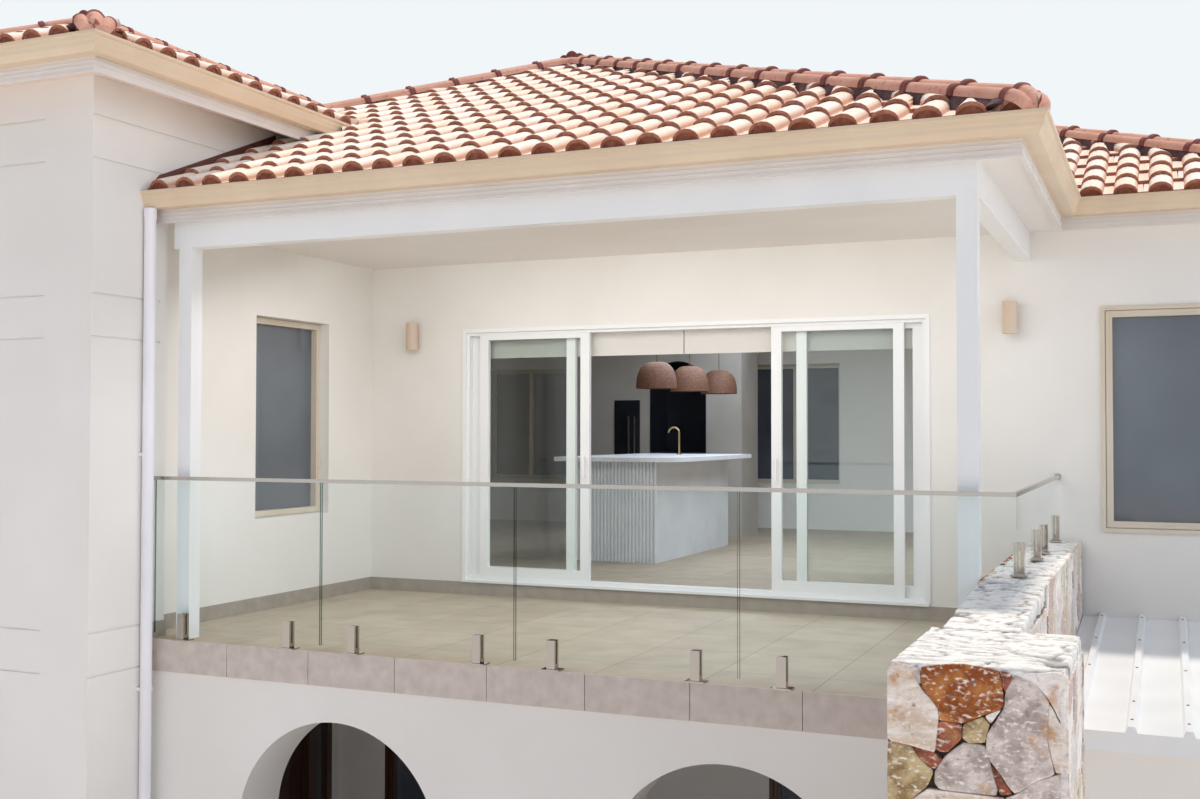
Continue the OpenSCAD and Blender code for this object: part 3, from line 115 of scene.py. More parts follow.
def mottled(name, roughness, low, high, scale, detail=4, bumps=None, stretch=(1, 1, 1), folds=None, **shaderValues):
    # a surface of two near tones; bumps are scale, depth and detail, folds run level and are scale, bend and depth
    material, tree, shader, place = startMaterial(name, roughness, **shaderValues)
    tree.links.new(cloudy(tree, place, scale, low, high, detail, stretch), shader.inputs["Base Color"])
    if bumps:
        roughen(tree, shader, place, *bumps)
    if folds:
        wave = addNode(tree, "ShaderNodeTexWave", {"bands_direction": "Z"},
                       {"Vector": place, "Scale": folds[0], "Distortion": folds[1]})
        relief(tree, shader, wave.outputs["Fac"], folds[2])
    return material


def powderCoat(name, colour, shade, roughness=0.35, bumps=(700, 0.00008), folds=None):
    # polyester powder coat on aluminium: even colour, low gloss, faint texture
    return mottled(name, roughness, shade, colour, 2.5, 4, bumps, (1, 1, 0.4), folds,
                   Coat_Weight=0.15, Coat_Roughness=0.3)


def plainStone(name, low, high, roughness, scale=12, depth=0.0006):
    # cut stone or fired tile without joints, also close coatings
    return mottled(name, roughness, low, high, scale, 6, (150, depth, 5))


def oiledTimber(name, dark, light):
    # oiled hardwood, grain running up the stiles
    return mottled(name, 0.35, dark, light, 14, 7, None, (6, 6, 0.35), Coat_Weight=0.3, Coat_Roughness=0.25)


def barrelTile():
    # moulded terracotta, pale, with painted sunlight whitening the tops, painted shade deepening the flanks and
    # darkening the ends, and lichen; shade, along and rise are stored on each tile
    material, tree, shader, place = startMaterial("weatheredTerracotta", 0.88)
    shade, along, rise = (addNode(tree, "ShaderNodeAttribute", {"attribute_name": label}).outputs["Fac"]
                          for label in ("shade", "along", "rise"))
    # painted sunlight: the pale clay is drawn near white, as the sunlit tops look
    paleSunlitClay = cloudy(tree, place, 22, "#fffaf2", "#fbeedd", 6, sharp=(0.45, 0.75))
    lichen = cloudy(tree, place, 60, paleSunlitClay, "#b99c80", 8, sharp=(0.7, 0.8))
    warm = addNode(tree, "ShaderNodeMix", colourMultiply, {"Factor": shade, 6: lichen, 7: "#fff4e8"})
    # painted shade: the flanks of the rolls are painted a deeper orange than the crests and the pans, which stay pale
    # as if sunlit
    flank = addNode(tree, "ShaderNodeFloatCurve", inputs={"Value": rise})
    curve = flank.mapping.curves[0]
    curve.points[0].location, curve.points[1].location = (0.0, 0.04), (1.0, 0.0)
    for spot in ((0.25, 0.72), (0.5, 0.36), (0.74, 0.04)):
        curve.points.new(*spot)
    shadedFlankOrange = cloudy(tree, place, 14, "#dd9468", "#c9805a", 5)
    sides = addNode(tree, "ShaderNodeMix", colourMix, {"Factor": flank.outputs[0], 6: warm.outputs[2], 7: shadedFlankOrange})
    # painted shade: the ends of the tiles are painted dark red-brown, as they lie in shadow
    shadedEndMask = addNode(tree, "ShaderNodeMapRange", inputs={"Value": along, "From Min": 0.03, "From Max": 0.012})
    dark = cloudy(tree, place, 30, "#985844", "#b97c64")
    nose = addNode(tree, "ShaderNodeMix", colourMix, {"Factor": shadedEndMask.outputs["Result"], 6: sides.outputs[2], 7: dark})
    tree.links.new(nose.outputs[2], shader.inputs["Base Color"])
    roughen(tree, shader, place, 180, 0.0012, 5)
    return material


def capTile():
    # extruded terracotta cap, pinker and darker than the tiles, with a dark raised band; band is stored on each cap
    material, tree, shader, place = startMaterial("capTerracotta", 0.8)
    base = cloudy(tree, place, 7, "#d99b85", "#e5b49e", 6)
    aged = cloudy(tree, place, 26, base, "#9a6354", 7, sharp=(0.6, 0.76))
    dark = cloudy(tree, place, 30, "#6f3a34", "#8b5047", 6)
    atBand = addNode(tree, "ShaderNodeAttribute", {"attribute_name": "band"}).outputs["Fac"]
    banded = addNode(tree, "ShaderNodeMix", colourMix, {"Factor": atBand, 6: aged, 7: dark})
    tree.links.new(banded.outputs[2], shader.inputs["Base Color"])
    roughen(tree, shader, place, 140, 0.001, 5)
    return material


def rubbleStone():
    # split local sandstone: pale, grey, beige, red and rust faces, with painted sunlight paling the tops and the faces
    # to the right, and painted shade greying its cracks; tone, the painted sunlight and the crack shade are stored on
    # the stones
    material, tree, shader, place = startMaterial("splitSandstone", 0.93)
    tone, bleach, crevice = (addNode(tree, "ShaderNodeAttribute", {"attribute_name": label}).outputs["Fac"]
                             for label in ("tone", "bleach", "crevice"))
    picked = cloudy(tree, place, 9, "#f4ece5", "#d8c3af", 9, (0.5, 0.5, 2.2), (0.42, 0.62))
    for low, pale, dark in ((0.3, "#dfd2ca", "#b0a19b"), (0.5, "#cdb78c", "#94794f"), (0.66, "#b4694c", "#713b2c"),
                            (0.8, "#c98748", "#8f4a1c")):
        choice = addNode(tree, "ShaderNodeMapRange", inputs={"Value": tone, "From Min": low, "From Max": low + 0.02})
        face = cloudy(tree, place, 16, dark, pale, 9, sharp=(0.38, 0.62))
        mixed = addNode(tree, "ShaderNodeMix", colourMix, {"Factor": choice.outputs["Result"], 6: picked, 7: face})
        picked = mixed.outputs[2]
    flecked = cloudy(tree, place, 38, picked, "#8d7468", 9, sharp=(0.6, 0.78))
    bloom = cloudy(tree, place, 48, flecked, "#f3e9df", 10, (1, 1, 1.7), (0.54, 0.7))
    stained = cloudy(tree, place, 11, bloom, "#c08a56", 9, sharp=(0.62, 0.78))
    # painted sunlight: chalky pale, with real rust marks, for the tops and the faces to the right
    sunlitPale = cloudy(tree, place, 30, "#f5f3ef", "#d3ccc5", 8, (0.5, 1.6, 1.6), (0.5, 0.72))
    sunlitRusted = cloudy(tree, place, 9, sunlitPale, "#c99a63", 8, sharp=(0.66, 0.76))
    paintedSunMix = addNode(tree, "ShaderNodeMix", colourMix, {"Factor": bleach, 6: stained, 7: sunlitRusted})
    # painted shade: the cracks and the head's underside are painted grey
    crackShaded = addNode(tree, "ShaderNodeMix", colourMix, {"Factor": crevice, 6: paintedSunMix.outputs[2], 7: "#7d7672"})
    tree.links.new(crackShaded.outputs[2], shader.inputs["Base Color"])
    roughen(tree, shader, place, 55, 0.009, 9)
    return material


def floorTile(name, low, high, size, joint="#8f857a"):
    # dry pressed porcelain with 2 mm cement joints on a square grid
    material, tree, shader, place = startMaterial(name, 0.55)
    face = cloudy(tree, place, 5, low, high, 6)
    grid = addNode(tree, "ShaderNodeTexBrick", {"offset": 0.0, "squash": 1.0},
                   {"Vector": place, "Color1": "#ffffff", "Color2": "#f4f2ef", "Mortar": joint, "Scale": 1.0,
                    "Mortar Size": 0.002, "Brick Width": size, "Row Height": size})
    tiled = addNode(tree, "ShaderNodeMix", colourMultiply, {"Factor": 1.0, 6: face, 7: grid.outputs["Color"]})
    tree.links.new(tiled.outputs[2], shader.inputs["Base Color"])
    roughen(tree, shader, place, 120, 0.0005)
    return material


def clearGlass(name, colour, edge=None, edgeLimit=0.0):
    # float glass: light passes straight through, and its outer faces mirror at grazing angles; ground edges, on the
    # faces that look along x left of edgeLimit, show the green of the glass
    material, tree, shader, place = startMaterial(name, 0.02)
    through = addNode(tree, "ShaderNodeBsdfTransparent", inputs={"Color": colour})
    shape = addNode(tree, "ShaderNodeNewGeometry").outputs
    if edge:
        facing = addNode(tree, "ShaderNodeSeparateXYZ", inputs={"Vector": shape["Normal"]})
        spot = addNode(tree, "ShaderNodeSeparateXYZ", inputs={"Vector": place})
        sideways = addNode(tree, "ShaderNodeMath", {"operation": "ABSOLUTE"}, {0: facing.outputs["X"]})
        onEdge = addNode(tree, "ShaderNodeMath", {"operation": "GREATER_THAN"}, {0: sideways.outputs[0], 1: 0.9})
        before = addNode(tree, "ShaderNodeMath", {"operation": "LESS_THAN"}, {0: spot.outputs["X"], 1: edgeLimit})
        both = addNode(tree, "ShaderNodeMath", {"operation": "MULTIPLY"}, {0: onEdge.outputs[0], 1: before.outputs[0]})
        tint = addNode(tree, "ShaderNodeMix", colourMix, {"Factor": both.outputs[0], 6: colour, 7: edge})
        tree.links.new(tint.outputs[2], through.inputs["Color"])
    gloss = addNode(tree, "ShaderNodeBsdfGlossy", inputs={"Color": "#ffffff", "Roughness": 0.02})
    sheen = addNode(tree, "ShaderNodeFresnel", inputs={"IOR": 1.5})
    outer = addNode(tree, "ShaderNodeMath", {"operation": "SUBTRACT"}, {0: 1.0, 1: shape["Backfacing"]})
    amount = addNode(tree, "ShaderNodeMath", {"operation": "MULTIPLY"}, {0: sheen.outputs["Fac"], 1: outer.outputs[0]})
    mix = addNode(tree, "ShaderNodeMixShader",
                  inputs={0: amount.outputs[0], 1: through.outputs[0], 2: gloss.outputs[0]})
    output = next(n for n in tree.nodes if n.bl_idname == "ShaderNodeOutputMaterial")
    tree.links.new(mix.outputs[0], output.inputs["Surface"])
    tree.nodes.remove(shader)
    return material


def polishedMetal(name, colour, roughness):
    # polished and plated metal, with the finest buffing lines
    material, tree, shader, place = startMaterial(name, roughness, colour, Metallic=1.0)
    lines = addNode(tree, "ShaderNodeTexNoise", inputs={"Vector": place, "Scale": 90, "Detail": 2})
    span = addNode(tree, "ShaderNodeMapRange",
                   inputs={"Value": lines.outputs["Fac"], "To Min": roughness * 0.7, "To Max": roughness * 1.5})
    tree.links.new(span.outputs["Result"], shader.inputs["Roughness"])
    return material


finish = {
    # sand and cement render, steel floated, two coats of flat masonry paint: soft sheenless white, fine grit
    "wall": mottled("paintedRender", 0.85, "#e9e5df", "#f2efea", 0.9, 5, (260, 0.0006, 4)),
    # rolled paint on set plasterboard: dead flat, a slight orange peel
    "ceiling": mottled("ceilingPaint", 0.9, "#ece6df", "#f3eee9", 0.6, 4, (400, 0.0002)),
    # painted light: the wing's soffit takes the same paint tinted peach, as painted warm light bounced up from the
    # sunlit tiles
    "soffit": mottled("peachSoffitPaint", 0.9, "#e6cfc2", "#ecdacf", 0.6, 4, (400, 0.0002)),
    # coated aluminium and steel of frames, posts, fascias, lamps, pipes and roof sheets
    "whiteFrame": powderCoat("whitePowderCoat", "#f7f7f6", "#f1f2f2", 0.3),
    "creamFrame": powderCoat("creamPowderCoat", "#ddd2c1", "#d3c6b2", 0.4),
    "fascia": powderCoat("fasciaPaint", "#e8e2dd", "#ddd7d3", 0.4),
    "flashing": powderCoat("flashingPaint", "#6f4038", "#5d352f", 0.55),
    "sheet": powderCoat("roofSheetPaint", "#eff1f2", "#e6e9eb"),
    "lamp": powderCoat("lampPaint", "#d9c4b0", "#cdb7a2", 0.4),
    "pipe": powderCoat("pipePaint", "#f6f4f8", "#eeecf1", 0.45),
    # roll formed steel gutter with fine folds along its face, coated in a warm beige
    "gutter": powderCoat("foldedGutter", "#e6d1b6", "#dcc5a8", 0.4, None, (11, 0, 0.0012)),
    "tile": barrelTile(),
    "cap": capTile(),
    # lime and sand bedding under the caps, a dark purple-brown
    "mortar": mottled("beddingMortar", 0.95, "#553d3d", "#74595a", 18, 7, (60, 0.006, 6)),
    "stone": rubbleStone(),
    # dark recessed joints between the stones
    "joint": mottled("jointMortar", 0.95, "#3d332c", "#5c5046", 30, 6, (90, 0.004, 6)),
    "deck": floorTile("deckTile", "#ada08b", "#bfb29d", 0.6, "#9b907f"),
    "indoor": floorTile("indoorTile", "#a3917c", "#b3a28d", 0.6),
    "porch": floorTile("porchTile", "#aaa194", "#bab1a4", 0.45),
    "edge": plainStone("edgeTile", "#c3b6ad", "#d6cac1", 0.6),
    "skirting": plainStone("skirtingTile", "#9b9184", "#aba194", 0.5),
    "bench": plainStone("benchStone", "#e2e6ea", "#eff2f5", 0.35, 4, 0.0002),
    "kitchen": plainStone("kitchenPaint", "#b4afa6", "#c2bdb5", 0.8, 2, 0.0003),
    "nicheTile": plainStone("nicheTile", "#0c0e18", "#171a26", 0.3, 6, 0.0002),
    "screw": plainStone("screwCoating", "#5d6064", "#74777b", 0.5, 200, 0.0001),
    "doorGlass": clearGlass("doorGlass", "#fcfefd"),
    "railGlass": clearGlass("railGlass", "#fbfefe", "#7d9a95", 3.8),
    # tinted window glass, drawn opaque and mirror-like: its grey is the painted shade of the unlit room behind,
    # lightened as a painted reflection
    "paintedShadeGlass": mottled("windowGlass", 0.04, "#454c54", "#6a727c", 0.8, 2, Specular_IOR_Level=0.9),
    "chrome": polishedMetal("polishedChrome", "#b3aca4", 0.08),
    "steel": polishedMetal("brushedSteel", "#b9b4ae", 0.18),
    "brass": polishedMetal("brushedBrass", "#c9b07c", 0.3),
    "timber": oiledTimber("varnishedMeranti", "#2a150e", "#4d2a1b"),
    "joinery": oiledTimber("porchJoinery", "#3a2016", "#5e3726"),
    # coated polyester roller blind, one even colour; its fine weave is drawn coarser so that it shows
    "blind": mottled("blindCloth", 0.75, "#e3dfd9", "#e3dfd9", 1, folds=(50, 0.4, 0.0004)),
    # split cane strips, steamed brown, round the shades
    "cane": mottled("wovenCane", 0.6, "#46291b", "#7f563d", 55, 5, (320, 0.0008), (1, 1, 3)),
    # dark lacquered cabinet front, satin
    "lacquer": mottled("darkLacquer", 0.3, "#14171d", "#20242c", 3),
}
print("materials made:", len(finish))

nodeFinish = {
    "wall": "arcade_wall porch_back_wall porch_side_walls wing_side_wall wing_front_wall left_wall rear_wall "
            "right_wall low_walls back_wall",
    "ceiling": "balcony_ceiling house_ceiling", "soffit": "wing_soffit", "creamFrame": "window_frames",
    "whiteFrame": "sliding_door_frame sliding_door_panels balcony_posts eaves_beams", "fascia": "fascias",
    "flashing": "roof_flashing", "sheet": "metal_roof", "lamp": "wall_lights", "pipe": "downpipe", "gutter": "gutters",
    "cap": "main_hip_caps wing_hip_caps", "mortar": "main_roof wing_roof", "joint": "stone_wall",
    "deck": "balcony_slab", "indoor": "upper_floor", "porch": "ground_floor", "edge": "edge_tiles",
    "skirting": "skirting_tiles",
    "bench": "kitchen_island", "kitchen": "kitchen_wall", "doorGlass": "sliding_door_glass",
    "railGlass": "balustrade_glass", "paintedShadeGlass": "window_glass", "chrome": "glass_spigots",
    "steel": "entry_door_handle handrail", "brass": "kitchen_tap", "timber": "entry_frame entry_door_leaf",
    "joinery": "porch_windows", "blind": "door_blinds", "cane": "pendant_lamps", "lacquer": "kitchen_tower",
}
for key, names in nodeFinish.items():
    for name in names.split():
        if not nodes[name].material_slots:
            nodes[name].data.materials.append(None)
        for slot in nodes[name].material_slots:
            slot.material = finish[key]


def plainMesh(name, points, faces, material):
    mesh = bpy.data.meshes.new(name)
    mesh.from_pydata([tuple(p) for p in points], [], faces)
    mesh.materials.append(material)
    mesh.update()
    return addObject(name, mesh)


# the photograph's camera, fitted to it: place above the site, angles in degrees, focal length in the photo's pixels
camera = {"place": (5.892, -6.472, 1.307 + site["deck"]), "turn": 23.42, "pitch": 1.40, "roll": -0.08, "focal": 1307.7,
          "imageWidth": 1200, "sensor": 36, "farEnd": 400}
cameraData = bpy.data.cameras.new("photoCamera")
cameraData.sensor_width = camera["sensor"]
cameraData.lens = camera["focal"] / camera["imageWidth"] * camera["sensor"]
cameraData.clip_end = camera["farEnd"]
photoCamera = addObject("photoCamera", cameraData)
photoCamera.location = toPart(*camera["place"])
photoCamera.rotation_euler = [math.radians(a) for a in (90 + camera["pitch"], camera["roll"], camera["turn"])]
bpy.context.scene.camera = photoCamera

studio = {"floorHalf": 80, "sky": "#d9e7ff", "skyPower": 0.45, "backdrop": "#f1f6f9", "room": "#e4f0ff",
          "fillPlace": (2.6, 1.0, 5.35), "fillAim": (2.6, 1.7, 2.9)}
half = studio["floorHalf"]
corners = [(-half, -half, 0), (half, -half, 0), (half, half, 0), (-half, half, 0)]
floor = plainMesh("studioFloor", corners, [(0, 1, 2, 3)], startMaterial("paleStudioFloor", 0.8, "#f1efec")[0])


def addLamp(name, kind, power, colour, turn=(0, 0, 0), place=None, mirrored=False, **values):
    # turn is in degrees; the lamps that have a place are kept out of the picture, and out of its mirrors
    data = bpy.data.lights.new(name, kind)
    data.energy = power
    data.color = hexColour(colour)[:3]
    for key, value in values.items():
        setattr(data, key, value)
    lamp = addObject(name, data)
    lamp.rotation_euler = [math.radians(a) for a in turn]
    if place:
        lamp.location = toPart(*place)
        lamp.visible_camera = False
        lamp.visible_glossy = mirrored
    return lamp


# high sun, light from the balcony's ceiling, sky on the right, paving below, and the rooms
addLamp("softSun", "SUN", 2.45, "#fff4e6", (16, 0, 172), angle=math.radians(4))
fill = addLamp("balconyFill", "AREA", 52, "#ffffff", place=studio["fillPlace"], shape="RECTANGLE", size=4.4, size_y=1.6)
fillWay = toPart(*studio["fillAim"]) - toPart(*studio["fillPlace"])
fill.rotation_euler = fillWay.to_track_quat("-Z", "Y").to_euler()
addLamp("sideGlow", "SUN", 1.15, "#f5f9ff", (80, 0, 78), angle=math.radians(60))
addLamp("pavingBounce", "AREA", 150, "#ffecdd", (180, 0, 0), (2.5, -5.5, 0.1), shape="RECTANGLE", size=16, size_y=7)
addLamp("kitchenLight", "AREA", 98, studio["room"], place=(2.6, 5.6, 5.45), mirrored=True, shape="DISK", size=3.2)
addLamp("rearRoomLight", "AREA", 6, studio["room"], place=(1.6, 7.6, 5.45), mirrored=True, shape="DISK", size=1.2)

world = bpy.data.worlds.new("studioSky")
world.use_nodes = True
worldTree = world.node_tree
worldTree.nodes.clear()
skyLight = addNode(worldTree, "ShaderNodeBackground", inputs={"Color": studio["sky"], "Strength": studio["skyPower"]})
backdrop = addNode(worldTree, "ShaderNodeBackground", inputs={"Color": studio["backdrop"], "Strength": 1.0})
# the camera, metal and glass see the pale backdrop; everything else is lit by the blue of the sky
rays = addNode(worldTree, "ShaderNodeLightPath").outputs
mirrored = addNode(worldTree, "ShaderNodeMath", {"operation": "ADD"},
                   {0: rays["Is Camera Ray"], 1: rays["Is Glossy Ray"]})
seen = addNode(worldTree, "ShaderNodeMath", {"operation": "ADD", "use_clamp": True},
               {0: mirrored.outputs[0], 1: rays["Is Transmission Ray"]})
both = addNode(worldTree, "ShaderNodeMixShader",
               inputs={0: seen.outputs[0], 1: skyLight.outputs[0], 2: backdrop.outputs[0]})
addNode(worldTree, "ShaderNodeOutputWorld", inputs={"Surface": both.outputs[0]})
bpy.context.scene.world = world
bpy.context.scene.view_settings.view_transform = "Standard"
print("camera and light set")


def facedOut(piece):
    # turns all faces of a closed mesh outwards
    fix = bmesh.new()
    fix.from_mesh(piece.data)
    bmesh.ops.recalc_face_normals(fix, faces=fix.faces[:])
    fix.to_mesh(piece.data)
    fix.free()
    return piece


def betweenFaces(n):
    # both ends and all sides of a solid between two outlines of n points
    return ([tuple(range(n)), tuple(range(2 * n - 1, n - 1, -1))]
            + [(i, i + n, (i + 1) % n + n, (i + 1) % n) for i in range(n)])


def prism(name, outline, low, high, axis, material):
    # an outline in the two axes other than axis, pushed along axis
    points = []
    for level in (low, high):
        for a, b in outline:
            place = [a, b]
            place.insert(axis, level)
            points.append(toPart(*place))
    return facedOut(plainMesh(name, points, betweenFaces(len(outline)), material))


def storeValues(piece, label, values, domain="POINT"):
    piece.data.attributes.new(label, "FLOAT", domain).data.foreach_set("value", values)


def pointsOf(mesh):
    place = np.empty(len(mesh.vertices) * 3)
    mesh.vertices.foreach_get("co", place)
    return place.reshape(-1, 3)


def joinPieces(name, pieces):
    with bpy.context.temp_override(active_object=pieces[0], selected_editable_objects=pieces):
        bpy.ops.object.join()
    pieces[0].name = name
    pieces[0].data.name = name
    return pieces[0]


def runTree(carrier, tree, values):
    # runs a Geometry Nodes tree on a carrier and keeps the result as the carrier's own mesh
    modifier = carrier.modifiers.new(tree.name, "NODES")
    modifier.node_group = tree
    for item in tree.interface.items_tree:
        if item.item_type == "SOCKET" and item.in_out == "INPUT" and item.name in values:
            modifier[item.identifier] = values[item.name]
    bpy.context.view_layer.update()
    evaluated = carrier.evaluated_get(bpy.context.evaluated_depsgraph_get())
    mesh = bpy.data.meshes.new_from_object(evaluated)
    carrier.modifiers.remove(modifier)
    carrier.data = mesh
    mesh.name = carrier.name
    return carrier


def newTree(name, sockets):
    tree = bpy.data.node_groups.new(name, "GeometryNodeTree")
    tree.interface.new_socket("Geometry", in_out="OUTPUT", socket_type="NodeSocketGeometry")
    for label, kind, value in [("Geometry", "Geometry", None)] + sockets:
        socket = tree.interface.new_socket(label, in_out="INPUT", socket_type="NodeSocket" + kind)
        if value is not None:
            socket.default_value = value
    return tree, addNode(tree, "NodeGroupInput").outputs


def endTree(tree, geometry, material):
    real = addNode(tree, "GeometryNodeRealizeInstances", inputs={"Geometry": geometry})
    painted = addNode(tree, "GeometryNodeSetMaterial", inputs={"Geometry": real.outputs[0], "Material": material})
    addNode(tree, "NodeGroupOutput", inputs={"Geometry": painted.outputs[0]})


def finishPiece(piece, body="house"):
    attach(piece, body)
    print("made", piece.name, len(piece.data.polygons), "faces")


# one tile is a roll between two flat pans, over boards that reach down to the wall's plate and a lip over the gutter
roof = {"pitch": 22.5, "tileWidth": 0.206, "gauge": 0.325, "length": 0.4, "crest": 0.059, "pan": 0.004, "thick": 0.017,
        "lift": 0.024, "seat": -0.020, "rollShare": 0.355, "rim": 0.003, "rimLength": 0.010, "headCrest": 0.93,
        "thinning": 0.6, "innerShare": 0.95, "bedDrop": 0.026, "bedFoot": 0.005, "bedSteps": 60, "bedShort": 0.001,
        "closest": 0.0005, "lipDrop": 0.012,
        "lipFoot": 0.071, "lipLap": 0.01,
        "across": (-0.5, -0.355, -0.335, -0.27, -0.15, 0, 0.15, 0.27, 0.335, 0.355, 0.5)}
roof["slope"] = math.tan(math.radians(roof["pitch"]))
# walls under the roofs, the heights of their plates, and where the roofs meet
lines = {"mainX1": 5.275, "mainX0": -3.295, "rightX1": 6.970, "rightY0": 2.517, "rearY1": 9.950, "wingX0": -4.5,
         "wingX1": 0.3, "wingY0": -0.822, "out": 0.075, "plate": 5.626, "wingTop": 6.366, "rim": 0.12,
         "wingGutter": 0.44, "soffitReach": 1.2, "soffitMeets": 1.487, "lap": 0.3, "leftFrom": -0.604,
         "tileGap": 0.012, "bedGap": 0.002}


def tileBody():
    # x across, y from its nose up the slope, z off the roof
    across, length, crestHigh = roof["across"], roof["length"], roof["crest"]
    row = len(across)
    stations = [(0.0, crestHigh, 0.0), (roof["rimLength"], crestHigh, roof["rim"]),
                (length, crestHigh * roof["headCrest"], 0.0)]
    rows = len(stations)
    points, along, rise, faces = [], [], [], []
    for layer in (0, 1):
        for y, crest, shift in stations:
            lift = roof["lift"] * (1 - y / length) + roof["seat"]
            for share in across:
                arch = math.sqrt(max(0, 1 - (share / roof["rollShare"]) ** 2))
                drop = roof["thick"] * (1 - roof["thinning"] * y / length) if layer else 0
                x = share * roof["tileWidth"] * (roof["innerShare"] if layer and arch > 0 else 1)
                points.append((x, y + (roof["rim"] if layer == 0 and y == 0 else 0),
                               crest * arch + roof["pan"] + lift + shift - drop))
                along.append(y / length)
                rise.append(arch)
    for s in range(rows - 1):
        for i in range(row - 1):
            a = s * row + i
            b = a + rows * row
            faces += [(a, a + 1, a + row + 1, a + row), (b, b + row, b + row + 1, b + 1)]
        for a, flip in ((s * row, False), (s * row + row - 1, True)):
            b = a + rows * row
            faces.append((a, a + row, b + row, b) if not flip else (a, b, b + row, a + row))
    for s, flip in ((0, False), (rows - 1, True)):
        for i in range(row - 1):
            a = s * row + i
            b = a + rows * row
            faces.append((a, b, b + 1, a + 1) if not flip else (a, a + 1, b + 1, b))
    body = plainMesh("tileBody", points, faces, finish["tile"])
    storeValues(body, "along", along)
    storeValues(body, "rise", rise)
    return body


stop = {"near": 0.020, "far": 0.032, "foot": -0.03, "gap": 0.004, "spread": 0.97, "height": 0.93}


def stopBody():
    # the clay stop that closes a roll at the eaves
    reach = roof["rollShare"] * stop["spread"]
    shares = [-reach] + [s for s in roof["across"] if abs(s) < roof["rollShare"]] + [reach]
    points = []
    for y in (stop["near"], stop["far"]):
        for s in shares:
            arch = math.sqrt(max(0, 1 - (s / roof["rollShare"]) ** 2))
            points.append((s * roof["tileWidth"], y, roof["crest"] * arch * stop["height"] + roof["pan"] + roof["lift"]
                           + roof["seat"] - stop["gap"]))
        points += [(shares[-1] * roof["tileWidth"], y, stop["foot"]), (shares[0] * roof["tileWidth"], y, stop["foot"])]
    body = plainMesh("stopBody", points, betweenFaces(len(points) // 2), finish["tile"])
    # painted shade: along 0 paints the whole stop in the tiles' dark end colour
    for label in ("along", "rise"):
        storeValues(body, label, [0.0] * len(points))
    return facedOut(body)


def tileTree():
    # lays one tile or cap on every point, a little out of line as a tiler leaves them
    tree, given = newTree("tileCourses", [
        ("Tile", "Object", None), ("Pitch", "Float", 0.39), ("Turn", "Float", 0.0), ("Unevenness", "Float", 0.012),
        ("Seed", "Int", 7), ("Material", "Material", None)])
    tile = addNode(tree, "GeometryNodeObjectInfo", {"transform_space": "ORIGINAL"},
                   {"Object": given["Tile"], "As Instance": True})
    spread = addNode(tree, "ShaderNodeMath", {"operation": "MULTIPLY"}, {0: given["Unevenness"], 1: -1.0})
    twist = addNode(tree, "FunctionNodeRandomValue", {"data_type": "FLOAT"},
                    {2: spread.outputs[0], 3: given["Unevenness"], "Seed": given["Seed"]})
    heading = addNode(tree, "ShaderNodeMath", {"operation": "ADD"}, {0: given["Turn"], 1: twist.outputs[1]})
    turn = addNode(tree, "ShaderNodeCombineXYZ", inputs={"X": given["Pitch"], "Z": heading.outputs[0]})
    laid = addNode(tree, "GeometryNodeInstanceOnPoints", inputs={
        "Points": given["Geometry"], "Instance": tile.outputs["Geometry"], "Rotation": turn.outputs[0]})
    tint = addNode(tree, "FunctionNodeRandomValue", {"data_type": "FLOAT"}, {"Seed": given["Seed"]})
    kept = addNode(tree, "GeometryNodeStoreNamedAttribute", {"data_type": "FLOAT", "domain": "INSTANCE"},
                   {"Geometry": laid.outputs[0], "Name": "shade", "Value": tint.outputs[1]})
    endTree(tree, kept.outputs[0], given["Material"])
    return tree


tile, eavesStop, courses = tileBody(), stopBody(), tileTree()
# directions of each side of a roof, in plan: along its eaves and up its slope
sides = {"front": ((1, 0), (0, 1)), "right": ((0, 1), (-1, 0)), "rear": ((-1, 0), (0, -1)), "left": ((0, -1), (1, 0))}


def laySlope(body, along, inward, eave, base, reach, lower, upper, seed):
    # one slope's tiles, or only its lowest course of eaves stops; lower(v) and upper(v) are the slope's limits
    gaugePlan = roof["gauge"] * math.cos(math.radians(roof["pitch"]))
    points = []
    for course in range(1 if body is eavesStop else math.ceil(reach[1] / gaugePlan)):
        v = course * gaugePlan
        if v < reach[0] - gaugePlan:
            continue
        low = min(lower(v), lower(v + gaugePlan))
        high = max(upper(v), upper(v + gaugePlan))
        span = range(math.floor(low / roof["tileWidth"]), math.ceil(high / roof["tileWidth"]))
        points += [((k + 0.5) * roof["tileWidth"], v, v * roof["slope"]) for k in span]
    carrier = runTree(plainMesh("slope", points, [], finish["tile"]), courses,
                      {"Tile": body, "Pitch": math.radians(roof["pitch"]), "Seed": seed, "Material": finish["tile"]})
    mesh = carrier.data
    size = len(body.data.vertices)
    place = pointsOf(mesh)
    u, v = place[:, 0], place[:, 1]
    lowLimit = np.array([lower(x) for x in v])
    highLimit = np.array([upper(x) for x in v])
    lost = (u <= lowLimit) | (u >= highLimit) | (v > reach[1]) | (v < reach[0])
    gone = np.repeat(lost.reshape(-1, size).all(axis=1), size)
    place[:, 0] = np.clip(u, lowLimit, np.maximum(highLimit, lowLimit))
    over = np.maximum(v - reach[1], 0)
    place[:, 1] -= over
    place[:, 2] -= over * roof["slope"]
    world = np.empty_like(place)
    for axis in (0, 1):
        world[:, axis] = along[axis] * place[:, 0] + inward[axis] * place[:, 1] + eave[axis]
    world[:, 2] = place[:, 2] + base
    world -= np.array([site["centreX"], site["centreY"], 0])
    mesh.vertices.foreach_set("co", world.ravel())
    cut = bmesh.new()
    cut.from_mesh(mesh)
    cut.verts.ensure_lookup_table()
    bmesh.ops.delete(cut, geom=[cut.verts[i] for i in np.nonzero(gone)[0]], context="VERTS")
    cut.to_mesh(mesh)
    cut.free()
    return carrier


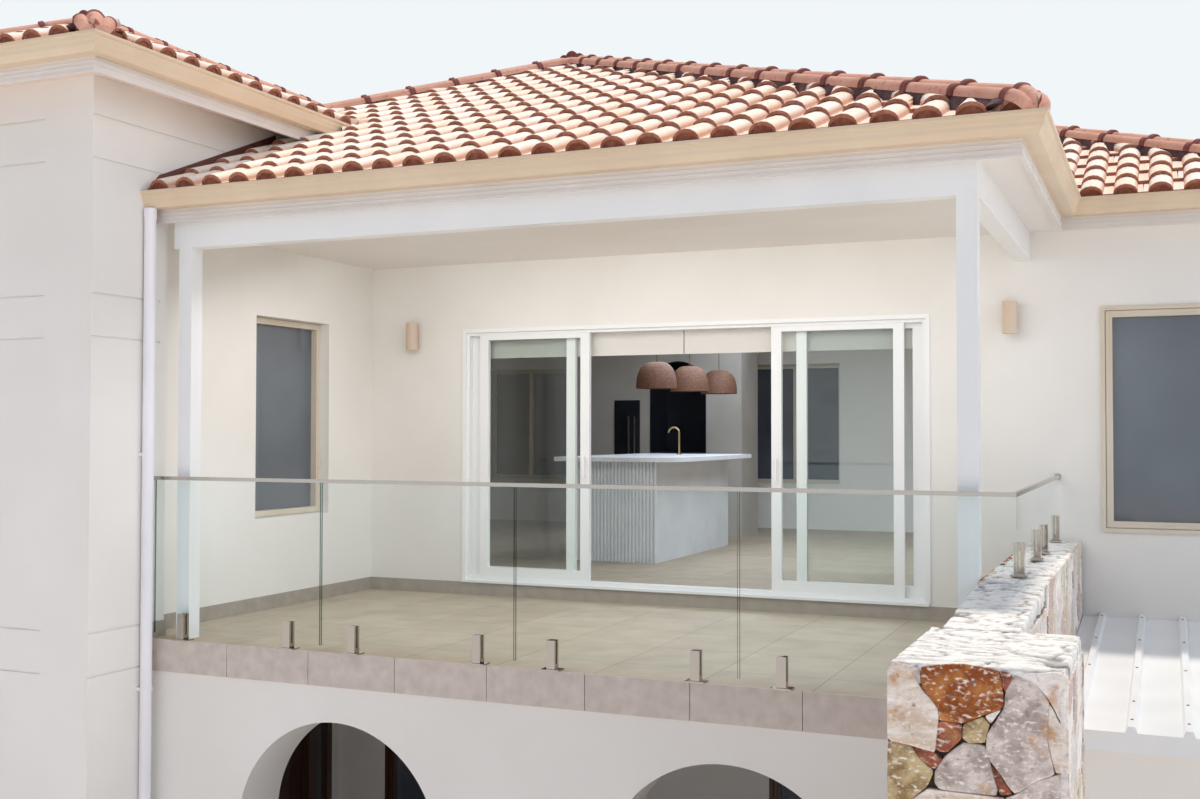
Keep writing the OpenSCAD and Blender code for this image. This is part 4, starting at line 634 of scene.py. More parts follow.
def bedSlope(along, inward, eave, base, reach, lower, upper, plate):
    # boards and battens under one slope: a wedge down to the wall plate, and a thin lip out over the gutter
    parts = []
    for start, end, drop, foot in ((max(reach[0], lines["out"]), reach[1], roof["bedDrop"], plate + roof["bedFoot"]),
                                   (0, lines["out"] + roof["lipLap"], roof["lipDrop"], plate + roof["lipFoot"])):
        if reach[0] > end:
            continue
        stations = np.linspace(start, end - roof["bedShort"], roof["bedSteps"])
        outline = [(lower(v), v) for v in stations] + [(upper(v), v) for v in stations[::-1]]
        outline = [p for i, p in enumerate(outline) if math.dist(p, outline[i - 1]) > roof["closest"]]
        points = []
        for level in (0, 1):
            for u, v in outline:
                x, y = (along[a] * u + inward[a] * v + eave[a] for a in (0, 1))
                points.append(toPart(x, y, base + v * roof["slope"] - drop if level else foot))
        parts.append(facedOut(plainMesh("bed", points, betweenFaces(len(outline)), finish["mortar"])))
    return parts


def tileRoof(name, base, plate, rows):
    # each row: side, line of the eaves, reach of the slope in plan, its limits, seed, and what differs for the boards
    # below it or for its stops
    slopes, stops, beds = [], [], []
    for side, line, reach, lower, upper, seed, other in rows:
        along, inward = sides[side]
        spot = (along, inward, (0, line) if along[0] else (line, 0), base, reach)
        slopes.append(laySlope(tile, *spot, lower, upper, seed))
        if "noStops" not in other:
            stops.append(laySlope(eavesStop, *spot, lower, upper, seed))
        beds += bedSlope(*spot, other.get("lower", lower), other.get("upper", upper), other.get("plate", plate))
    return joinPieces(name, slopes + stops + beds)


wingRise = lines["wingTop"] - lines["plate"]
valleyAt = wingRise / roof["slope"] + lines["wingX1"]
mainEave = lines["plate"] + lines["rim"] - lines["out"] * roof["slope"]
wingEave = lines["wingTop"] + lines["rim"] - lines["out"] * roof["slope"]
frontEave, rearEave = -lines["out"], lines["rearY1"] + lines["out"]
rightFrontEave = lines["rightY0"] - lines["out"]
eastEave, rightEave = lines["mainX1"] + lines["out"], lines["rightX1"] + lines["out"]
westEave = lines["mainX0"] - lines["out"]
halfMain = (lines["mainX1"] - lines["mainX0"]) / 2 + lines["out"]
halfSide = (lines["rearY1"] - lines["rightY0"]) / 2 + lines["out"]
halfWing = (lines["wingX1"] - lines["wingX0"]) / 2 + lines["out"]


def besideWing(v):
    # where the slopes that meet the wing stop: its wall, its gutter, then the valley
    y = v - lines["out"]
    if y < lines["soffitReach"]:
        return lines["tileGap"]
    return max(min(lines["wingGutter"], valleyAt - y), westEave + v)


def underWing(v):
    # the boards run on to the wing's wall, and past the valley below the wing's own tiles
    y = v - lines["out"]
    return lines["bedGap"] if y < lines["soffitMeets"] else max(valleyAt - y - lines["lap"], westEave + v)


mainTiles = tileRoof("mainRoofTiles", mainEave, lines["plate"], [
    ("front", frontEave, (0, halfMain), besideWing, lambda v: eastEave - v, 11, {"lower": underWing}),
    ("right", eastEave, (0, halfMain), lambda v: frontEave + v, lambda v: min(rightFrontEave + v, rearEave - v), 12,
     {"upper": lambda v: min(rightFrontEave + v + lines["lap"], rearEave - v)}),
    ("front", rightFrontEave, (0, halfSide), lambda v: eastEave - v, lambda v: rightEave - v, 13,
     {"lower": lambda v: eastEave - v - lines["lap"]}),
    ("right", rightEave, (0, halfSide), lambda v: rightFrontEave + v, lambda v: rearEave - v, 14, {}),
    ("rear", rearEave, (0, halfMain), lambda v: v - (rightEave if v <= halfSide else eastEave),
     lambda v: -besideWing(v), 15, {"upper": lambda v: -underWing(v)}),
    ("left", westEave, (lines["leftFrom"] - westEave, halfMain), lambda v: v - rearEave, lambda v: -(frontEave + v), 16,
     {"plate": lines["wingTop"], "noStops": True}),
])
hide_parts("main_roof")
finishPiece(mainTiles)

wingLeft, wingRight = lines["wingX0"] - lines["out"], lines["wingX1"] + lines["out"]
wingFront = lines["wingY0"] - lines["out"]
overlapRun = (lines["wingX1"] + 2 * lines["out"] - lines["mainX0"] - wingRise / roof["slope"]) / 2
meetFront = wingRise / roof["slope"] - lines["out"]


def wingRightEnd(v, lap=0):
    # the wing's right slope stops at the valley, and runs on to the rear above the main roof's left slope
    return rearEave - v if v > overlapRun else min(meetFront + v + lap, rearEave - v)


wingTiles = tileRoof("wingRoofTiles", wingEave, lines["wingTop"], [
    ("front", wingFront, (0, halfWing), lambda v: wingLeft + v, lambda v: wingRight - v, 21, {}),
    ("right", wingRight, (0, halfWing), lambda v: wingFront + v, wingRightEnd, 22,
     {"upper": lambda v: wingRightEnd(v, lines["lap"])}),
    ("right", wingRight, (0, overlapRun), lambda v: lines["rearY1"] - meetFront - v, lambda v: rearEave - v, 23,
     {"lower": lambda v: lines["rearY1"] - meetFront - v - lines["lap"], "noStops": True}),
    ("rear", rearEave, (0, halfWing), lambda v: v - wingRight, lambda v: -(wingLeft + v), 24, {}),
    ("left", wingLeft, (0, halfWing), lambda v: v - rearEave, lambda v: -(wingFront + v), 25, {}),
])
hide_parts("wing_roof")
finishPiece(wingTiles)
bpy.data.objects.remove(tile)
bpy.data.objects.remove(eavesStop)

# a cap is a half round roll between two lower ones; each roll is its distance from the middle, height and radius
caps = {"length": 0.41, "lap": 0.03, "bandLength": 0.046, "band": 0.011, "middle": (0.0, 0.064, 0.046),
        "side": (0.070, 0.048, 0.038), "foot": 0.028, "noseLength": 0.11, "noseGrow": -0.045, "noseDrop": 0.055,
        "noseAngles": (84, 66, 48, 30, 14), "bedTop": 0.092, "bedFoot": 0.150, "bedHigh": 0.052, "bedLow": -0.09,
        "bedStep": 0.05, "noseBed": 0.012, "noseGap": 0.001, "noseFall": 0.3, "ridgeOver": 0.11, "valleyOver": 0.04,
        "headOver": 0.08, "sideOver": 0.06, "unevenness": 0.006, "mouth": 0.6, "bandRise": 0.006, "bandFall": 0.008,
        "bandChange": 0.004, "headGrow": -0.006, "centreDrop": 0.02, "bedWidths": (0.9, 1.06),
        "bedHeights": (0.92, 1.0),
        "shares": (0.15, 0.28, 0.37, 0.43, 0.5, 0.6, 0.72, 0.84, 0.93, 0.985, 1)}


def capOutline(grow):
    # a cap seen from its end, larger by grow
    outline = []
    reach = caps["side"][0] + caps["side"][2]
    centre = (0.0, caps["middle"][1] - caps["centreDrop"])
    for share in [-s for s in reversed(caps["shares"])] + [0] + list(caps["shares"]):
        x = share * reach
        high = max(up + math.sqrt(max(0, radius ** 2 - (abs(x) - away) ** 2))
                   for away, up, radius in (caps["middle"], caps["side"]) if abs(abs(x) - away) <= radius + 1e-6)
        length = math.hypot(x - centre[0], high - centre[1])
        outline.append((x + (x - centre[0]) / length * grow, high + (high - centre[1]) / length * grow))
    return [(outline[0][0], caps["foot"])] + outline + [(outline[-1][0], caps["foot"])]


def capBody(name, nose=False):
    # from its lower end at y 0 up to its head, each station as y, growth, band and drop; a nose closes the lowest cap
    raised, bandEnd = caps["band"], caps["bandLength"]
    stations = [(0.0, raised * caps["mouth"], 1, 0), (caps["bandRise"], raised, 1, 0),
                (bandEnd - caps["bandFall"], raised, 1, 0), (bandEnd, 0.0, 1, 0),
                (bandEnd + caps["bandChange"], 0.0, 0, 0), (caps["length"] + caps["lap"], caps["headGrow"], 0, 0)]
    if nose:
        ends = [(-caps["noseLength"] * math.sin(a), 1 - math.cos(a)) for a in np.radians(caps["noseAngles"])]
        rounded = [(y, caps["noseGrow"] * gone, 0, caps["noseDrop"] * gone) for y, gone in ends]
        stations = rounded + [(-caps["noseGap"], 0.0, 0, 0)] + stations
    points, band, faces = [], [], []
    for y, grow, dark, drop in stations:
        for x, z in capOutline(grow):
            points.append((x, y, z - drop))
            band.append(dark)
    row = len(points) // len(stations)
    for s in range(0, len(points) - row, row):
        faces += [(s + i, s + (i + 1) % row, s + row + (i + 1) % row, s + row + i) for i in range(row)]
    faces += [tuple(range(row - 1, -1, -1)), tuple(range(len(points) - row, len(points)))]
    body = plainMesh(name, points, faces, finish["cap"])
    storeValues(body, "band", band)
    return facedOut(body)


capPiece, nosePiece = capBody("capBody"), capBody("noseBody", True)


def capRow(low, high, nose, seed):
    # caps from the lower end to the upper end of a hip or along a ridge, on their mortar
    low, high = toPart(*low), toPart(*high)
    run = high - low
    count = max(1, round(run.length / caps["length"]))
    values = {"Pitch": math.atan2(run.z, math.hypot(run.x, run.y)), "Turn": math.atan2(-run.x, run.y),
              "Unevenness": caps["unevenness"], "Seed": seed, "Material": finish["cap"]}
    rows = []
    for part, first, last in ((nosePiece, 0, 1 if nose else 0), (capPiece, 1 if nose else 0, count)):
        if last > first:
            carrier = plainMesh("capRow", [low + run * (i / count) for i in range(first, last)], [], finish["cap"])
            rows.append(runTree(carrier, courses, {"Tile": part, **values}))
    side = Vector((run.y, -run.x, 0)).normalized()
    up = side.cross(run.normalized())
    steps = max(2, int(run.length / caps["bedStep"]))
    foot, top = (caps["bedFoot"], caps["bedLow"]), (caps["bedTop"], caps["bedHigh"])
    section = ((-foot[0], foot[1]), (-top[0], top[1]), top, foot)
    chance = np.random.default_rng(seed)
    points, faces = [], []
    for i in range(steps + 1):
        for x, z in section:
            if nose:
                z = max(z, caps["noseBed"] - caps["noseFall"] * (i / steps * run.length))
            across, rise = x * chance.uniform(*caps["bedWidths"]), z * chance.uniform(*caps["bedHeights"])
            points.append(low + run * (i / steps) + side * across + up * rise)
    for i in range(steps):
        faces += [(4 * i + k, 4 * i + (k + 1) % 4, 4 * i + 4 + (k + 1) % 4, 4 * i + 4 + k) for k in range(4)]
    faces += [(3, 2, 1, 0), tuple(4 * steps + k for k in range(4))]
    return rows + [facedOut(plainMesh("capBed", points, faces, finish["mortar"]))]


def planeTop(plate, run):
    return plate + lines["rim"] + run * roof["slope"]


def hipFoot(apex, sx, sy, run):
    return (apex[0] + sx * run, apex[1] + sy * run, apex[2] - run * roof["slope"])


ridgeX = (lines["mainX0"] + lines["mainX1"]) / 2
mainSpan, sideSpan, wingSpan = halfMain - lines["out"], halfSide - lines["out"], halfWing - lines["out"]
mainTop, sideTop = planeTop(lines["plate"], mainSpan), planeTop(lines["plate"], sideSpan)
wingRidge = planeTop(lines["wingTop"], wingSpan)
valleyFall = mainTop - lines["wingTop"] - lines["rim"] + (ridgeX - lines["wingX1"]) * roof["slope"]
valleyRun = valleyFall / (2 * roof["slope"]) + caps["valleyOver"]
apexFront, apexRear = (ridgeX, mainSpan, mainTop), (ridgeX, lines["rearY1"] - mainSpan, mainTop)
sideEnd = (lines["rightX1"] - sideSpan, lines["rightY0"] + sideSpan, sideTop)
sideStart = (ridgeX + mainSpan - sideSpan, sideEnd[1], sideTop)
# hips down to the front right corner and into both valleys, the short hip, both ridges, the hips of the right side
mainCapRows = [
    (hipFoot(apexFront, 1, -1, mainSpan), apexFront, True, 31),
    (hipFoot(apexFront, -1, -1, valleyRun), apexFront, False, 32),
    (hipFoot(apexRear, -1, 1, valleyRun), apexRear, False, 33),
    (sideStart, apexRear, False, 34),
    ((ridgeX, mainSpan - caps["ridgeOver"], mainTop), (ridgeX, apexRear[1] + caps["headOver"], mainTop), False, 35),
    ((sideEnd[0] + caps["ridgeOver"], sideEnd[1], sideTop), (sideStart[0] - caps["sideOver"], sideEnd[1], sideTop),
     False, 36),
    (hipFoot(sideEnd, 1, -1, sideSpan), sideEnd, True, 37),
    (hipFoot(sideEnd, 1, 1, sideSpan), sideEnd, True, 38),
]
mainCaps = joinPieces("mainHipCaps", [piece for row in mainCapRows for piece in capRow(*row)])
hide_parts("main_hip_caps")
finishPiece(mainCaps)

wingX = (lines["wingX0"] + lines["wingX1"]) / 2
wingApexFront = (wingX, lines["wingY0"] + wingSpan, wingRidge)
wingApexRear = (wingX, lines["rearY1"] - wingSpan, wingRidge)
wingCapRows = [((wingX, wingApexFront[1] - caps["ridgeOver"], wingRidge),
                (wingX, wingApexRear[1] + caps["headOver"], wingRidge), False, 41)]
for apex, sx, sy, seed in ((wingApexFront, 1, -1, 42), (wingApexFront, -1, -1, 43), (wingApexRear, 1, 1, 44),
                           (wingApexRear, -1, 1, 45)):
    wingCapRows.append((hipFoot(apex, sx, sy, wingSpan), apex, True, seed))
wingCaps = joinPieces("wingHipCaps", [piece for row in wingCapRows for piece in capRow(*row)])
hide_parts("wing_hip_caps")
finishPiece(wingCaps)
bpy.data.objects.remove(capPiece)
bpy.data.objects.remove(nosePiece)

# radii are the stones' sizes with the tries made for each, in stones a square metre
rubble = {"joint": 0.965, "laidJoint": 1.035, "relief": 0.026, "roughness": 0.008, "spill": 0.014,
          "radii": ((0.125, 90), (0.075, 160), (0.042, 260)), "bend": 0.07, "smallest": 0.0006,
          "blockDepth": 0.085, "margin": 0.25, "shrink": (0.7, 1.0), "sunk": 0.01}


def stoneTree():
    # each cell of the wall's face is shrunk to leave a joint, raised by its own amount and roughened
    tree, given = newTree("stoneFacing", [
        ("Joint", "Float", 0.95), ("Relief", "Float", 0.024), ("Roughness", "Float", 0.006), ("Rounding", "Int", 1),
        ("Bleach", "Float", 0.0), ("Seed", "Int", 3), ("Material", "Material", None)])
    pick = addNode(tree, "FunctionNodeRandomValue", {"data_type": "FLOAT"}, {2: 0.0, 3: 0.83, "Seed": given["Seed"]})
    laid = addNode(tree, "GeometryNodeInputNamedAttribute", {"data_type": "FLOAT"}, {"Name": "chosen"})
    chosen = addNode(tree, "GeometryNodeSwitch", {"input_type": "FLOAT"},
                     {0: laid.outputs["Exists"], 1: pick.outputs[1], 2: laid.outputs["Attribute"]})
    toned = addNode(tree, "GeometryNodeStoreNamedAttribute", {"data_type": "FLOAT", "domain": "FACE"},
                    {"Geometry": given["Geometry"], "Name": "tone", "Value": chosen.outputs[0]})
    # painted sunlight: one amount of paleness for every stone of the face
    sunPaintedFaces = addNode(tree, "GeometryNodeStoreNamedAttribute", {"data_type": "FLOAT", "domain": "FACE"},
                       {"Geometry": toned.outputs[0], "Name": "bleach", "Value": given["Bleach"]})
    bed = addNode(tree, "GeometryNodeScaleElements", {"domain": "FACE"},
                  {"Geometry": sunPaintedFaces.outputs[0], "Scale": given["Joint"]})
    proud = addNode(tree, "FunctionNodeRandomValue", {"data_type": "FLOAT"}, {2: 0.62, 3: 0.86, "Seed": given["Seed"]})
    body = addNode(tree, "ShaderNodeMath", {"operation": "MULTIPLY"}, {0: given["Relief"], 1: proud.outputs[1]})
    raised = addNode(tree, "GeometryNodeExtrudeMesh",
                     inputs={"Mesh": bed.outputs[0], "Offset Scale": body.outputs[0], "Individual": True})
    cap = addNode(tree, "ShaderNodeMath", {"operation": "MULTIPLY"}, {0: given["Relief"], 1: 0.14})
    crowned = addNode(tree, "GeometryNodeExtrudeMesh", inputs={
        "Mesh": raised.outputs["Mesh"], "Selection": raised.outputs["Top"], "Offset Scale": cap.outputs[0],
        "Individual": True})
    eased = addNode(tree, "GeometryNodeScaleElements", {"domain": "FACE"},
                    {"Geometry": crowned.outputs["Mesh"], "Selection": crowned.outputs["Top"], "Scale": 0.94})
    under = addNode(tree, "GeometryNodeFlipFaces", inputs={"Mesh": bed.outputs[0]})
    whole = addNode(tree, "GeometryNodeJoinGeometry")
    tree.links.new(eased.outputs[0], whole.inputs[0])
    tree.links.new(under.outputs[0], whole.inputs[0])
    closed = addNode(tree, "GeometryNodeMergeByDistance", inputs={"Geometry": whole.outputs[0], "Distance": 0.0001})
    rounded = addNode(tree, "GeometryNodeSubdivisionSurface", inputs={
        "Mesh": closed.outputs[0], "Level": given["Rounding"], "Edge Crease": 0.93, "Vertex Crease": 0.7})
    rough = addNode(tree, "ShaderNodeTexNoise", inputs={"Scale": 16.0, "Detail": 5.0})
    centred = addNode(tree, "ShaderNodeVectorMath", {"operation": "SUBTRACT"},
                      {0: rough.outputs["Color"], 1: (0.5, 0.5, 0.5)})
    chipped = addNode(tree, "ShaderNodeVectorMath", {"operation": "SCALE"},
                      {0: centred.outputs[0], "Scale": given["Roughness"]})
    worn = addNode(tree, "GeometryNodeSetPosition",
                   inputs={"Geometry": rounded.outputs[0], "Offset": chipped.outputs[0]})
    endTree(tree, worn.outputs[0], given["Material"])
    return tree


stones = stoneTree()


def signedArea(outline):
    return sum(a[0] * b[1] - b[0] * a[1] for a, b in zip(outline, outline[1:] + outline[:1])) / 2


def stoneCells(width, height, stretch, seed):
    # outlines of fitted stones: big stones are placed first, small ones fill between, and each joint bends a little
    chance = np.random.default_rng(seed)
    reach = np.array([width / stretch[0], height / stretch[1]]) / 2 + rubble["margin"]
    centres, sizes = [], []
    for radius, tries in rubble["radii"]:
        for spot in chance.uniform(-1, 1, (int(tries * 4 * reach[0] * reach[1]), 2)) * reach:
            if all(math.dist(spot, c) > radius + size for c, size in zip(centres, sizes)):
                centres.append(tuple(spot))
                sizes.append(radius * chance.uniform(*rubble["shrink"]))
    corners, _, triangles, *_ = geometry.delaunay_2d_cdt([Vector(c) for c in centres], [], [], 0, 1e-6)
    mid = [sum((corners[i] for i in t), Vector((0, 0))) / 3 for t in triangles]
    around = {}
    for number, triangle in enumerate(triangles):
        for i in triangle:
            around.setdefault(i, []).append(number)
    points = [(m.x * stretch[0], m.y * stretch[1], 0) for m in mid]
    bends, cells = {}, []
    limit = (width / 2 + rubble["spill"], height / 2 + rubble["spill"])
    for i, ring in around.items():
        if len(ring) < 4:
            continue
        ring.sort(key=lambda n: math.atan2(mid[n].y - corners[i].y, mid[n].x - corners[i].x))
        outline = []
        for a, b in zip(ring, ring[1:] + ring[:1]):
            key = (min(a, b), max(a, b))
            if key not in bends:
                p, q = Vector(points[key[0]]), Vector(points[key[1]])
                shift = chance.uniform(-rubble["bend"], rubble["bend"])
                bends[key] = len(points)
                points.append(((p.x + q.x) / 2 - (q.y - p.y) * shift, (p.y + q.y) / 2 + (q.x - p.x) * shift, 0))
            outline += [a, bends[key]]
        if any(abs(points[n][0]) < limit[0] and abs(points[n][1]) < limit[1] for n in outline):
            cells.append(outline)
    points = [(min(max(x, -limit[0]), limit[0]), min(max(y, -limit[1]), limit[1]), z) for x, y, z in points]
    return points, [cell for cell in cells if abs(signedArea([points[n] for n in cell])) > rubble["smallest"]]


def stoneFace(corner, along, width, height, seed, stretch=(1.0, 1.0), bleach=0.0, laid=None, rounding=1):
    # one upright face of the wall, from its lower corner; along runs to the right as seen from outside. laid stones
    # come as (tone, outline)
    if laid:
        points, cells = [], []
        for _, outline in laid:
            if signedArea(outline) < 0:
                outline = outline[::-1]
            cells.append(tuple(range(len(points), len(points) + len(outline))))
            points += [(x / 1000 - width / 2, y / 1000 - height / 2, 0) for x, y in outline]
    else:
        points, cells = stoneCells(width, height, stretch, seed)
    carrier = plainMesh("stoneFace", points, cells, finish["stone"])
    if laid:
        storeValues(carrier, "chosen", [tone for tone, _ in laid], "FACE")
    runTree(carrier, stones, {"Joint": rubble["laidJoint" if laid else "joint"], "Relief": rubble["relief"],
                              "Roughness": rubble["roughness"], "Rounding": rounding, "Bleach": bleach, "Seed": seed,
                              "Material": finish["stone"]})
    place = pointsOf(carrier.data)
    place[:, 0] = np.clip(place[:, 0], -width / 2, width / 2)
    place[:, 1] = np.clip(place[:, 1], -height / 2, height / 2)
    place[:, 2] = np.clip(place[:, 2], -rubble["sunk"], rubble["relief"])
    u, v = np.array(along, float), np.array((0, 0, 1), float)
    out = np.cross(u, v)
    start = np.array(toPart(*corner)) - out * rubble["relief"]
    world = (start + np.outer(place[:, 0] + width / 2, u) + np.outer(place[:, 1] + height / 2, v)
             + np.outer(place[:, 2], out))
    carrier.data.vertices.foreach_set("co", world.ravel())
    return carrier


# the wall's weathered head: thin split layers over each other, ragged at the rim, with deep cracks between them
head = {"grid": 0.013, "deepest": 0.026, "layers": 5, "slabStep": 0.014, "crackDepth": 0.013, "edgeWidth": 0.10,
        "crackWidth": 0.05, "grain": 0.003, "rimInset": 0.010, "rimDrop": 0.012, "underside": 0.055, "bend": 0.05,
        "bendScale": (5, 4), "layerScale": (3.2, 11), "crackScale": (4.5, 7), "crackShift": 9, "grainScale": (28, 60),
        "rimScale": (17, 17), "edgeShare": 0.55, "mostDeep": 1.2, "least": 0.001}


def ripple(x, y, scale, seed, shift=0):
    return noise.noise(Vector((x * scale[0] + shift, y * scale[1], seed)))


def layeredTop(x0, x1, y0, y1, topFront, topBack, seed):
    nx, ny = (max(4, int((b - a) / head["grid"])) for a, b in ((x0, x1), (y0, y1)))
    tops, crevice = [], []
    for j in range(ny + 1):
        for i in range(nx + 1):
            x, y = x0 + (x1 - x0) * i / nx, y0 + (y1 - y0) * j / ny
            bend = ripple(x, y, head["bendScale"], seed) * head["bend"]
            layers = (ripple(x, y + bend, head["layerScale"], seed + 5.0) * 0.5 + 0.5) * head["layers"]
            slab = math.floor(layers) / head["layers"]
            edge = abs(layers - round(layers))
            crack = abs(ripple(x, y + bend, head["crackScale"], seed + 11.0, head["crackShift"]))
            deep = max(0.0, 1 - edge / head["edgeWidth"]) * head["edgeShare"] + max(0.0, 1 - crack / head["crackWidth"])
            depth = head["least"] + (1 - slab) * head["slabStep"] + min(deep, head["mostDeep"]) * head["crackDepth"]
            depth = min(head["deepest"], depth + abs(ripple(x, y, head["grainScale"], seed) * head["grain"]))
            inset = 0.0
            if min(i, nx - i, j, ny - j) == 0:
                inset = head["rimInset"] + head["rimInset"] * ripple(x, y, head["rimScale"], seed)
                depth += head["rimDrop"]
            px = min(max(x, x0 + inset), x1 - inset)
            py = min(max(y, y0 + inset), y1 - inset)
            tops.append(toPart(px, py, topFront + (topBack - topFront) * (y - y0) / (y1 - y0) - depth))
            # painted shade: the nearer a deep crack, the greyer the colour
            crevice.append(min(1.0, deep))
    row, size = nx + 1, len(tops)
    faces = [(a, a + 1, a + row + 1, a + row) for j in range(ny) for a in range(j * row, j * row + nx)]
    rims = (list(range(row)) + [j * row + nx for j in range(1, ny + 1)]
            + [ny * row + i for i in range(nx - 1, -1, -1)] + [j * row for j in range(ny - 1, 0, -1)])
    bottoms = [tops[n] - Vector((0, 0, head["underside"])) for n in rims]
    faces += [(b, a, size + n, size + (n + 1) % len(rims)) for n, (a, b) in enumerate(zip(rims, rims[1:] + rims[:1]))]
    faces.append(tuple(reversed(range(size, size + len(rims)))))
    top = facedOut(plainMesh("layeredTop", tops + bottoms, faces, finish["stone"]))
    # painted sunlight: the whole head is painted pale, as its sunlit top looks
    storeValues(top, "bleach", [1.0] * len(faces), "FACE")
    storeValues(top, "tone", [0.1] * len(faces), "FACE")
    # painted shade: the head's rim and underside are painted part grey
    storeValues(top, "crevice", crevice + [0.3] * len(rims))
    return top


wall = {"left": 5.055, "right": 5.375, "pierLeft": 5.015, "pierRight": 5.595, "front": -2.0, "pierBack": -1.15,
        "rear": 2.767, "top": 3.5, "pierTop": 3.44, "laidFrom": 2.96, "roofLine": 2.7,
        "skin": rubble["relief"] - 0.002, "block": rubble["blockDepth"] - 0.01, "gap": 0.002, "headGap": 0.01}
# the big stones of the pier's head as they were laid: tone, then corners in millimetres from the pier's left edge and
# from laidFrom up
laidStones = [
    (0.1, ((0, 205), (70, 198), (155, 178), (165, 240), (168, 325), (112, 385), (75, 455), (30, 462), (0, 440))),
    (0.4, ((80, 458), (108, 452), (112, 400), (85, 420))),
    (0.9, ((113, 458), (250, 474), (365, 462), (378, 345), (310, 315), (245, 283), (172, 288), (170, 325), (118, 392))),
    (0.7, ((370, 462), (410, 455), (385, 395), (378, 415))),
    (0.4, ((415, 450), (470, 430), (520, 375), (512, 250), (535, 145), (478, 120), (412, 70), (365, 135), (322, 190),
           (330, 255), (382, 340), (388, 400))),
    (0.05, ((318, 312), (374, 340), (338, 288))),
    (0.55, ((250, 280), (310, 308), (334, 285), (320, 225), (270, 218), (247, 235))),
    (0.7, ((170, 283), (244, 280), (244, 230), (200, 182), (160, 188), (166, 235))),
    (0.55, ((0, 200), (75, 192), (105, 155), (152, 115), (128, 60), (60, 0), (0, 0))),
    (0.7, ((85, 188), (152, 178), (182, 155), (157, 120), (112, 152))),
    (0.36, ((248, 215), (316, 215), (338, 140), (358, 55), (175, 58), (158, 80), (160, 115), (190, 165))),
    (0.72, ((338, 155), (360, 130), (405, 65), (364, 58))),
    (0.1, ((420, 452), (540, 470), (580, 460), (580, 300), (558, 310), (520, 385), (475, 432))),
    (0.12, ((522, 370), (555, 305), (580, 290), (580, 160), (540, 148), (516, 250))),
    (0.4, ((385, 52), (412, 62), (476, 112), (540, 140), (580, 150), (580, 0), (390, 0))),
    (0.2, ((135, 55), (170, 54), (380, 50), (384, 0), (70, 0))),
]
skin, gap = wall["skin"], wall["gap"]
wallHigh, pierHigh = wall["top"] - wall["block"], wall["pierTop"] - wall["block"]
pierFront, pierBack = wall["front"] + skin, wall["pierBack"] - skin
wallFront, wallRear = wall["pierBack"] - 0.05, wall["rear"] - gap
core = [
    prism("wallCore", [(wallFront, gap), (wallRear, gap), (wallRear, wallHigh), (0, wallHigh), (wallFront, pierHigh)],
          wall["left"] + skin, wall["right"] - skin, 0, finish["joint"]),
    prism("pierCore", [(pierFront, gap), (pierBack, gap), (pierBack, pierHigh), (pierFront, pierHigh)],
          wall["pierLeft"] + skin, wall["pierRight"] - skin, 0, finish["joint"]),
    prism("pierCorner", [(pierBack - 0.01, gap), (wall["pierBack"] - gap, gap), (wall["pierBack"] - gap, pierHigh),
                         (pierBack - 0.01, pierHigh)],
          wall["pierLeft"] + skin - 0.01, wall["left"] + skin + 0.01, 0, finish["joint"]),
]
pierWidth, pierDepth = wall["pierRight"] - wall["pierLeft"], wall["pierBack"] - wall["front"]
frontRun = -wall["pierBack"]
faceHigh, laidFrom = wall["pierTop"] - wall["headGap"], wall["laidFrom"]
ahead, back, right, left = (0, 1, 0), (0, -1, 0), (1, 0, 0), (-1, 0, 0)
# painted sunlight: the faces to the right get part of the head's painted paleness
stoneFaces = [
    stoneFace((wall["pierLeft"], wall["front"], 0), right, pierWidth, laidFrom - 0.004, 4, rounding=0),
    stoneFace((wall["pierLeft"], wall["front"], laidFrom), right, pierWidth, wall["pierTop"] - laidFrom, 3,
              laid=laidStones, rounding=2),
    stoneFace((wall["pierRight"], wall["front"], 0), ahead, pierDepth, faceHigh, 9, (0.8, 1.1), 0.45),
    stoneFace((wall["pierRight"], wall["pierBack"], 0), left, wall["pierRight"] - wall["right"], faceHigh, 5,
              rounding=0),
    stoneFace((wall["pierLeft"], wall["pierBack"], 0), back, pierDepth - 0.012, faceHigh, 16, rounding=0),
    stoneFace((wall["left"], 0, 0), back, frontRun, faceHigh, 6, rounding=0),
    stoneFace((wall["right"], wall["pierBack"], 0), ahead, frontRun, faceHigh, 7, bleach=0.5, rounding=0),
    stoneFace((wall["right"], 0, wall["roofLine"]), ahead, wall["rear"], wall["top"] - 2.71, 8, bleach=0.4),
    stoneFace((wall["left"], wall["rear"], site["deck"]), back, wall["rear"],
              wall["top"] - site["deck"] - wall["headGap"], 10, rounding=0),
]
heads = [
    layeredTop(wall["pierLeft"], wall["pierRight"], wall["front"], wall["pierBack"], wall["pierTop"],
               wall["pierTop"], 2.0),
    layeredTop(wall["left"], wall["right"], wall["pierBack"] - 0.004, 0.006, wall["pierTop"], wall["top"], 14.0),
    layeredTop(wall["left"], wall["right"], 0.0, wallRear, wall["top"], wall["top"], 27.0),
]
rubbleWall = joinPieces("rubbleWall", core + stoneFaces + heads)
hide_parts("stone_wall")
finishPiece(rubbleWall)

# bright bar handles of the tall kitchen unit, as sleeves with a rounded front on its bars
handles = {"middles": (0.016, 0.091), "halfWidth": 0.0105, "noseWidth": 0.006, "nose": 0.004, "front": 7.9365,
           "back": 7.9535, "low": 3.4885, "high": 4.3915}
handleHalf = [(handles["halfWidth"], handles["back"]), (handles["halfWidth"], handles["front"] + handles["nose"]),
              (handles["noseWidth"], handles["front"])]
handleBars = []
for middle in handles["middles"]:
    outline = [(middle - x, y) for x, y in handleHalf[1:]] + [(middle + x, y) for x, y in handleHalf[::-1]]
    outline.append((middle - handles["halfWidth"], handles["back"]))
    handleBars.append(prism("towerHandles", outline, handles["low"], handles["high"], 2, finish["steel"]))
finishPiece(joinPieces("towerHandles", handleBars))

